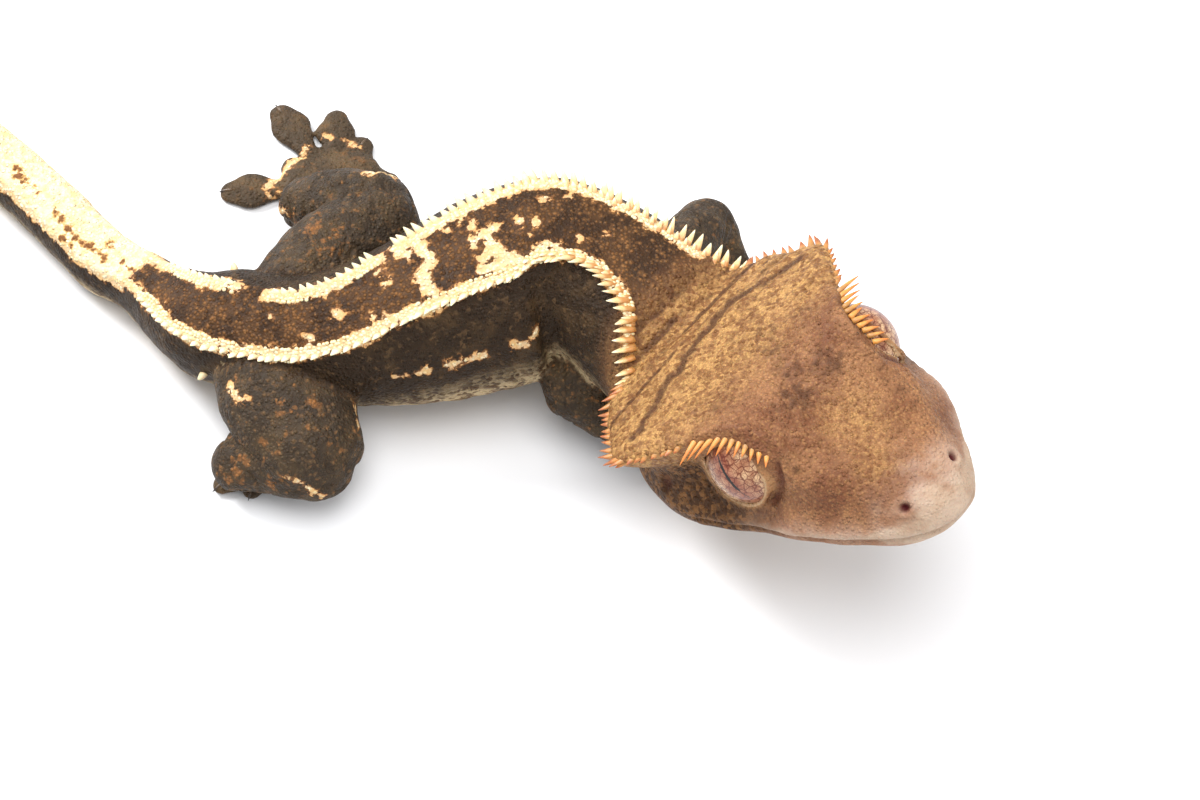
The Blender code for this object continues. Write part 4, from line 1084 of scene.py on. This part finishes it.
    def mark_limbs(self):
        mark, limb = self.surface.mark, np.clip(self.is_limb + self.is_foot, 0, 1)
        mark("limb", limb)
        mark("foot", self.is_foot)
        mark("orange", spots(self.surface.co, LIMB_ORANGE) * limb)

    def mark_crown(self):
        """Where the head and nape are tan, where they are dark in blotches and along the nape's folds and
        pleats (brown streaks there, with painted shade in the grooves), and where golden.
        """
        h, mark = self.head, self.surface.mark
        tan = self.is_head + self.is_body * ramp(h[:, 0], -21.5, -16.0) * ramp(h[:, 2], -1.5, 1.5)
        tan = np.clip(tan, 0, 1)
        mark("tan", tan)
        # Dark along the neck's pleats and the nape's folds, in the grooves the sculpt cuts: brown streaks
        # with painted shade in the grooves
        dark = ramp(self.ripple, -0.25, 0.45) * (1 - ramp(h[:, 0], -14.5, -9.5))
        for line, half, depth in NAPE_FOLDS:
            dark = np.maximum(dark, depth * bell(line_distance(self.flat, rounded(line)), half * 1.8))
        for x, y, r, amount in HEAD_BLOTCHES:
            dark = np.maximum(dark, amount * bell(np.hypot(h[:, 0] - x, h[:, 1] - y), r))
        mark("dark", dark * ramp(h[:, 2], -2.0, 0.5) * tan)
        gold = (1 - ramp(h[:, 0], -7.0, 1.0)) * tan
        for x, y, r, amount in GOLD_SPOTS:
            gold = gold + amount * bell(np.hypot(h[:, 0] - x, h[:, 1] - y), r) * self.is_head
        mark("gold", gold)

    def mark_face(self):
        """Where the cheeks are dark, the snout and lips pink, and the lids are; and where painted shade
        darkens the nostrils, the ear openings and the fold before each eye.
        """
        h, mark, on_head = self.head, self.surface.mark, self.is_head
        cheek = on_head * (1 - ramp(h[:, 2], 0.6, 2.8)) * ramp(np.abs(h[:, 1]), 6.5, 8.5)
        mark("cheek", cheek * (1 - ramp(h[:, 0], -1.0, 6.5)) * ramp(h[:, 2], -7.5, -5.5))
        lips = bell(h[:, 2] - self.lip_z, 1.15) * ramp(h[:, 0], -4.5, 0.0)
        snout = ramp(h[:, 0] + 0.8 * field(h, 2.2, 31), 12.4, 19.2)
        mark("pink", on_head * np.clip(snout + lips * 0.9, 0, 1))
        pit, recess_shade, lid = np.zeros((3, self.surface.count))
        for side in (-1, 1):
            nostril, ear, _, fold, ball = self.features(side)
            # Painted shade: dark in the nostrils, the ear openings and the fold before each eye, recesses
            # where shade falls
            pit = np.maximum(pit, 1 - ramp(nostril, 0.25, 0.75))
            recess_shade = np.maximum(np.maximum(recess_shade, 1 - ramp(ear, 0.5, 1.3)), 0.9 * bell(fold, 0.42))
            lid = np.maximum(lid, 1 - ramp(ball, 0.1, 0.75))
        mark("pit", pit * on_head)
        mark("recess_shade", recess_shade * on_head)
        film = bell(np.linalg.norm(h - THIN_LID, axis=1), THIN_LID_WIDE)
        mark("lid", lid * on_head * (1 - film) * (1 - ramp(h[:, 2], 1.5, 3.5)))

    def mark(self):
        """Leave the marks on the mesh for its material."""
        self.mark_trunk()
        self.mark_limbs()
        self.mark_crown()
        self.mark_face()


# Materials

def paint(red, green, blue):
    """A colour given as on screen, 0 to 255, for a shader's socket."""
    return tuple((c / 255 / 12.92 if c < 10.3 else ((c / 255 + 0.055) / 1.055) ** 2.4)
                 for c in (red, green, blue)) + (1.0,)


class Paint:
    """Builds one material out of nodes; sizes are in millimetres."""

    def __init__(self, name, roughness=0.6):
        self.material = bpy.data.materials.new(name)
        self.material.use_nodes = True
        self.nodes, self.links = self.material.node_tree.nodes, self.material.node_tree.links
        self.shader = self.nodes["Principled BSDF"]
        self.set("Roughness", roughness)
        self.place = self.nodes.new("ShaderNodeTexCoord").outputs["Object"]

    def set(self, name, value):
        """A number that is the same all over, on the shader's own socket."""
        self.shader.inputs[name].default_value = value

    def put(self, socket, value):
        """Link a socket to another, or give it a number or colour."""
        if isinstance(value, bpy.types.NodeSocket):
            self.links.new(value, socket)
        else:
            socket.default_value = value

    def mark(self, name):
        node = self.nodes.new("ShaderNodeAttribute")
        node.attribute_name = name
        return node.outputs["Fac"]

    def math(self, operation, a, b=0.0):
        node = self.nodes.new("ShaderNodeMath")
        node.operation = operation
        self.put(node.inputs[0], a)
        self.put(node.inputs[1], b)
        return node.outputs[0]

    def add(self, a, b):
        return self.math("ADD", a, b)

    def times(self, a, b):
        return self.math("MULTIPLY", a, b)

    def sway(self, value, amount):
        """A texture whose values lie about one half, as a swing about zero."""
        return self.times(self.add(value, -0.5), amount)

    def step(self, value, low, high, to_low=0.0, to_high=1.0):
        """Eased from to_low, where value is low, to to_high, where it is high."""
        node = self.nodes.new("ShaderNodeMapRange")
        node.interpolation_type = "SMOOTHSTEP"
        for name, item in (("Value", value), ("From Min", low), ("From Max", high), ("To Min", to_low),
                           ("To Max", to_high)):
            self.put(node.inputs[name], item)
        return node.outputs["Result"]

    def noise(self, size, detail=2.0, place=None):
        node = self.nodes.new("ShaderNodeTexNoise")
        self.put(node.inputs["Vector"], place or self.place)
        node.inputs["Scale"].default_value = 1000.0 / size
        node.inputs["Detail"].default_value = detail
        return node.outputs["Fac"]

    def cells(self, size, feature="F1", place=None):
        """Cells size millimetres across: distance from their middles, and one random value a cell."""
        node = self.nodes.new("ShaderNodeTexVoronoi")
        node.feature = feature
        self.put(node.inputs["Vector"], place or self.place)
        node.inputs["Scale"].default_value = 1000.0 / size
        if feature == "DISTANCE_TO_EDGE":
            return node.outputs["Distance"], None
        split = self.nodes.new("ShaderNodeSeparateColor")
        self.links.new(node.outputs["Color"], split.inputs["Color"])
        return node.outputs["Distance"], split.outputs["Red"]

    def mix(self, factor, a, b):
        node = self.nodes.new("ShaderNodeMix")
        node.data_type = "RGBA"
        self.put(node.inputs["Factor"], factor)
        colours = [s for s in node.inputs if s.type == "RGBA"]
        self.put(colours[0], a)
        self.put(colours[1], b)
        return [s for s in node.outputs if s.type == "RGBA"][0]

    def two_tone(self, value, low, high, first, second):
        """One paint where a value is low, turning to another where it is high."""
        return self.mix(self.step(value, low, high), paint(*first), paint(*second))

    def over(self, colour, *layers):
        """Paints laid over a colour: how much of each, and its red, green and blue."""
        for amount, rgb in layers:
            colour = self.mix(amount, colour, paint(*rgb))
        return colour

    def bump(self, height, depth, strength=1.0, normal=None):
        """A normal raised by height, depth millimetres high, over one made before."""
        node = self.nodes.new("ShaderNodeBump")
        node.inputs["Strength"].default_value = strength
        node.inputs["Distance"].default_value = depth * MM
        self.put(node.inputs["Height"], height)
        if normal is not None:
            self.links.new(normal, node.inputs["Normal"])
        return node.outputs["Normal"]

    def finish(self, colour, normal=None, roughness=None):
        self.put(self.shader.inputs["Base Color"], colour)
        if normal is not None:
            self.links.new(normal, self.shader.inputs["Normal"])
        if roughness is not None:
            self.put(self.shader.inputs["Roughness"], roughness)
        return self.material


class SkinPaint(Paint):
    """The textures that all regions of the skin share, and each region's colour."""

    def __init__(self):
        super().__init__("gecko_skin", 0.55)
        self.grain, self.grain_tone = self.cells(0.42)
        self.fine, self.fine_tone = self.cells(0.27)
        self.small, self.broad, self.wide = self.noise(0.9, 3), self.noise(2.6, 3), self.noise(6.5, 2)
        self.tone = self.add(self.times(self.grain_tone, 0.45), self.times(self.small, 0.75))


def trunk_paint(p):
    """Brown back with tan grains, darker flanks, pale mottled belly."""
    dots = p.times(p.step(p.grain, 0.42, 0.16), p.step(p.add(p.grain_tone, p.broad), 0.75, 1.15))
    back = p.over(p.two_tone(p.broad, 0.4, 0.62, (66, 43, 23), (102, 68, 36)),
                  (p.step(p.tone, 0.66, 0.86, 0.0, 0.6), (146, 101, 58)),
                  (p.times(dots, 0.4), (142, 98, 56)),
                  (p.step(p.grain, 0.32, 0.55, 0.0, 0.6), (38, 26, 17)))
    flank = p.over(p.two_tone(p.broad, 0.45, 0.7, (44, 31, 18), (64, 47, 28)),
                   (p.step(p.tone, 0.72, 0.9, 0.0, 0.5), (98, 74, 48)))
    mottle = p.add(p.broad, p.times(p.grain_tone, 0.3))
    belly = p.two_tone(mottle, 0.5, 0.8, (92, 68, 42), (196, 172, 132))
    return p.mix(p.mark("belly"), p.mix(p.mark("flank"), back, flank), belly)


def limb_paint(p):
    """Grey brown with orange flecks and dark creases; the toes a little lighter."""
    flecks = p.add(p.add(p.times(p.mark("orange"), 0.5), p.sway(p.small, 2.6)),
                   p.add(p.sway(p.broad, 1.4), p.sway(p.grain_tone, 0.5)))
    limb = p.over(p.two_tone(p.broad, 0.42, 0.66, (62, 50, 37), (84, 67, 46)),
                  (p.step(p.tone, 0.66, 0.86, 0.0, 0.5), (124, 94, 62)),
                  (p.step(flecks, 0.32, 0.85, 0.0, 0.8), (148, 98, 54)),
                  (p.step(p.grain, 0.3, 0.55, 0.0, 0.45), (42, 33, 26)))
    toes = p.two_tone(p.broad, 0.42, 0.66, (76, 62, 46), (98, 78, 54))
    return p.mix(p.times(p.mark("foot"), 0.6), limb, toes)


def crown_paint(p):
    """Tan, golden towards the nape and in two spots, with dark blotches, and dark folds that are brown
    streaks with painted shade in their grooves.
    """
    golden = p.two_tone(p.tone, 0.42, 0.8, (132, 90, 48), (198, 152, 92))
    head = p.mix(p.times(p.mark("gold"), p.step(p.broad, 0.2, 0.6, 0.6, 1.0)),
                 p.two_tone(p.wide, 0.38, 0.6, (118, 74, 49), (152, 106, 72)), golden)
    # dark: the blotches, and along the folds brown streaks with painted shade in their grooves
    dark = p.add(p.mark("dark"), p.sway(p.small, 1.8))
    return p.over(head, (p.step(p.fine_tone, 0.55, 0.95, 0.0, 0.24), (196, 148, 92)),
                  (p.step(p.broad, 0.48, 0.7, 0.0, 0.45), (110, 68, 45)),
                  (p.step(p.fine, 0.28, 0.6, 0.0, 0.35), (84, 54, 35)),
                  (p.step(dark, 0.25, 1.0, 0.0, 0.85), (72, 44, 28)))


def face_paint(p, head):
    """Pink snout and lips, a whitish snout tip that is partly painted highlight, brown cheeks and pale lids
    over the crown's paint.
    """
    pink = p.two_tone(p.broad, 0.4, 0.65, (180, 152, 134), (156, 118, 94))
    head = p.mix(p.times(p.mark("pink"), 0.8), head, pink)
    # The whitish snout tip: its pale colour with a painted highlight on it
    tip = p.add(p.mark("pink"), p.sway(p.small, 0.5))
    head = p.over(head, (p.step(tip, 0.62, 1.15, 0.0, 0.5), (202, 184, 160)))
    head = p.mix(p.mark("cheek"), head, p.two_tone(p.tone, 0.5, 0.85, (74, 50, 32), (126, 88, 53)))
    return p.over(head, (p.times(p.mark("lid"), 0.85), (190, 144, 98)),
                  (p.step(p.mark("lid"), 0.55, 0.8, 0.0, 0.5), (206, 178, 142)))


def cream_paint(p, colour):
    """The cream marks, ragged and tan at their edge, tan with painted shade in the gaps between their
    granules, and the brown dashes in them.
    """
    ragged = p.add(p.sway(p.grain_tone, 0.24), p.sway(p.small, 0.85))
    edge = p.add(p.mark("cream"), p.add(ragged, p.sway(p.broad, 0.5)))
    # Tan in the gaps between the granules, more so near the mark's edge: the skin's tan with painted shade
    # between the beads
    tan_and_shade_between_grains = p.times(p.step(p.grain, 0.26, 0.55), p.step(edge, 1.0, 0.78, 0.22, 0.6))
    tanned = p.times(p.step(edge, 0.72, 0.5, 0.0, 0.75),
                     p.step(p.add(p.grain_tone, p.times(p.small, 0.5)), 0.55, 0.95))
    cream = p.over(p.two_tone(p.small, 0.4, 0.66, (238, 228, 194), (226, 200, 148)),
                   (tan_and_shade_between_grains, (188, 138, 80)), (tanned, (204, 146, 86)))
    colour = p.over(colour, (p.step(edge, 0.36, 0.48, 0.0, 0.5), (150, 98, 54)))
    colour = p.mix(p.step(edge, 0.47, 0.53), colour, cream)
    dash = p.add(p.mark("dash"), ragged)
    brown = p.two_tone(dash, 0.5, 0.62, (206, 160, 96), (122, 80, 46))
    return p.mix(p.step(dash, 0.44, 0.52), colour, brown)


def skin_material():
    p = SkinPaint()
    colour = p.mix(p.mark("limb"), trunk_paint(p), limb_paint(p))
    colour = p.mix(p.mark("tan"), colour, face_paint(p, crown_paint(p)))
    under = p.two_tone(p.broad, 0.4, 0.7, (150, 120, 88), (186, 158, 122))
    colour = p.mix(p.times(p.mark("belly"), p.mark("tan")), colour, under)
    # Painted shade, dark red-brown, in the ear openings, the folds before the eyes and the nostrils
    colour = p.over(colour, (p.times(p.mark("recess_shade"), 0.85), (84, 40, 32)), (p.mark("pit"), (78, 22, 24)))
    colour = cream_paint(p, colour)

    smoother = p.add(1.0, p.times(p.mark("pink"), -0.6))
    normal = p.bump(p.times(p.step(p.grain, 0.0, 0.6, 1.0, 0.0), smoother), 0.15)
    normal = p.bump(p.step(p.fine, 0.0, 0.6, 1.0, 0.0), 0.05, 0.9, normal)
    normal = p.bump(p.small, 0.14, 0.5, normal)
    p.set("Specular IOR Level", 0.16)
    p.set("Subsurface Weight", 0.06)
    p.set("Subsurface Scale", 0.0006)
    return p.finish(colour, normal, p.step(p.small, 0.3, 0.7, 0.5, 0.66))


def spine_material(name, root, middle, tip):
    """Three paints from a spine's root to its tip; a spine of low tone is paler further down."""
    p = Paint(name, 0.42)
    grown = p.add(p.mark("along"), p.add(p.times(p.mark("tone"), -0.45), 0.4))
    colour = p.mix(p.step(grown, 0.02, 0.38), paint(*root), paint(*middle))
    colour = p.over(colour, (p.step(grown, 0.4, 0.85), tip),
                    (p.step(p.noise(0.5, 2), 0.45, 0.75, 0.0, 0.3), root))
    p.set("Subsurface Weight", 0.15)
    p.set("Subsurface Scale", 0.0005)
    return p.finish(colour, p.bump(p.noise(0.22, 2), 0.03, 0.6))


def bent_places(p):
    """The places of a paint's object, each moved a little, so that cells there get curved sides."""
    warp, move = p.nodes.new("ShaderNodeTexNoise"), p.nodes.new("ShaderNodeVectorMath")
    warp.inputs["Scale"].default_value = 900.0
    move.operation = "MULTIPLY_ADD"
    move.inputs[1].default_value = (0.0007, 0.0007, 0.0007)
    p.links.new(p.place, warp.inputs["Vector"])
    p.links.new(warp.outputs["Color"], move.inputs[0])
    p.links.new(p.place, move.inputs[2])
    return move.outputs[0]


def eye_material():
    """Pale iris with coarse and fine dark veins, redder near a narrow slit."""
    p = Paint("gecko_eye", 0.12)
    bent = bent_places(p)
    coarse, fine = (p.cells(size, "DISTANCE_TO_EDGE", bent)[0] for size in (0.72, 0.36))
    across, along = (p.math("ABSOLUTE", p.mark(name)) for name in ("slit_across", "slit_along"))
    edge = p.add(across, p.sway(p.noise(0.7, 2), 0.06))
    width = p.step(along, 0.72, 0.1, 0.0, 0.032)
    slit = p.step(p.add(edge, p.times(width, -1.0)), 0.012, -0.004)
    colour = p.over(p.two_tone(p.noise(1.2, 3), 0.35, 0.65, (214, 176, 136), (160, 110, 80)),
                    (p.step(across, 0.42, 0.08, 0.0, 0.7), (140, 68, 48)),
                    (p.step(coarse, 0.1, 0.02, 0.0, 0.8), (92, 34, 26)),
                    (p.step(fine, 0.09, 0.01, 0.0, 0.55), (92, 46, 34)),
                    (p.times(slit, p.step(along, 0.74, 0.68)), (8, 4, 3)))
    p.set("Specular IOR Level", 0.1)
    p.set("Coat Weight", 0.45)
    p.set("Coat Roughness", 0.04)
    return p.finish(colour, p.bump(p.step(coarse, 0.0, 0.12), 0.03, 0.4), 0.35)


def claw_material():
    p = Paint("gecko_claw", 0.3)
    colour = p.two_tone(p.mark("along"), 0.1, 0.8, (96, 76, 56), (40, 30, 24))
    return p.finish(colour, p.bump(p.noise(0.3, 2), 0.02, 0.5))


# Assembly

SPINE_SEED = 11

skin, samples, sample_marks = make_skin()
surface = Surface(skin.data)
surface.co = surface.spread(surface.co, SMOOTH_STEPS)
form = Skin(surface, samples, sample_marks)
form.sculpt()
form.mark()
surface.co = to_metres(surface.co)
surface.write()
skin.data.shade_smooth()
rng = random.Random(SPINE_SEED)
crest, beads, spurs = make_crest(rng), make_beads(rng), make_spurs()
crown, lashes, claws = make_crown(rng), make_lashes(rng), make_claws()
eyes = {"eye_left": make_eye(1), "eye_right": make_eye(-1)}

bead_paint = spine_material("crest_bead", (196, 148, 88), (222, 194, 142), (232, 216, 174))
eye_paint = eye_material()
for piece, slot, material in (
        (skin, "body_skin", skin_material()),
        (crest, "spine", spine_material("crest_spine", (188, 130, 70), (224, 192, 136), (236, 222, 186))),
        (beads, "spine", bead_paint),
        (spurs, "spine", bead_paint),
        (crown, "spine", spine_material("crown_spine", (166, 120, 68), (188, 128, 68), (160, 90, 44))),
        (lashes, "spine", spine_material("lash_spine", (176, 128, 70), (216, 150, 72), (204, 122, 52))),
        (claws, "claw", claw_material()),
        (eyes["eye_left"], "eye", eye_paint),
        (eyes["eye_right"], "eye", eye_paint)):
    piece.data.materials.append(material)
    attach(piece, "root")
for node, piece in eyes.items():
    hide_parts(node)
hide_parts(*[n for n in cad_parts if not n.startswith("eye")])


# Camera, lights and floor

LIGHTS = (("key", (-0.38, 0.34, 0.48), 0.28, 5.2), ("top", (0.05, -0.05, 0.75), 0.6, 4.2),
          ("fill", (0.5, -0.3, 0.45), 0.6, 1.6), ("spark", (-0.31, 0.36, 0.11), 0.035, 0.3))
WORLD_COLOUR, WORLD_STRENGTH = (0.95, 0.97, 1.0, 1), 0.62
FLOOR_HALF, FLOOR_COLOUR, FLOOR_ROUGHNESS = 3.0, (0.86, 0.86, 0.87, 1), 0.7
CLIP_FROM, CLIP_TO = 0.01, 20.0


def add_camera():
    """The camera where the photograph's was, looking down at the animal."""
    tilt = math.radians(CAMERA_ELEVATION)
    to_camera = np.array((0, -math.cos(tilt), math.sin(tilt)))
    data = bpy.data.cameras.new("camera")
    data.lens, data.sensor_width, data.sensor_fit = LENS, SENSOR, "HORIZONTAL"
    data.clip_start, data.clip_end = CLIP_FROM, CLIP_TO
    camera = add_object("camera", data)
    camera.location = Vector(to_metres(CAMERA_TARGET + to_camera * CAMERA_DISTANCE))
    camera.rotation_euler = (math.radians(90 - CAMERA_ELEVATION), 0, 0)
    bpy.context.scene.camera = camera


def add_light(name, place, size, power):
    """A round lamp that faces the middle of the floor."""
    data = bpy.data.lights.new(name, "AREA")
    data.shape, data.size, data.energy = "DISK", size, power
    light = add_object(name, data)
    light.location = place
    light.rotation_euler = (-Vector(place)).to_track_quat("-Z", "Y").to_euler()


def add_world():
    world = bpy.data.worlds.new("studio")
    world.use_nodes = True
    background = world.node_tree.nodes["Background"]
    background.inputs["Color"].default_value = WORLD_COLOUR
    background.inputs["Strength"].default_value = WORLD_STRENGTH
    bpy.context.scene.world = world
    bpy.context.scene.view_settings.view_transform = "Standard"


def add_floor():
    mesh = bpy.data.meshes.new("floor")
    corners = [(x * FLOOR_HALF, y * FLOOR_HALF, 0) for x, y in ((-1, -1), (1, -1), (1, 1), (-1, 1))]
    mesh.from_pydata(corners, [], [(0, 1, 2, 3)])
    material = bpy.data.materials.new("floor")
    material.use_nodes = True
    shader = material.node_tree.nodes["Principled BSDF"]
    shader.inputs["Base Color"].default_value = FLOOR_COLOUR
    shader.inputs["Roughness"].default_value = FLOOR_ROUGHNESS
    mesh.materials.append(material)
    add_object("floor", mesh)


add_camera()
add_world()
for light in LIGHTS:
    add_light(*light)
add_floor()
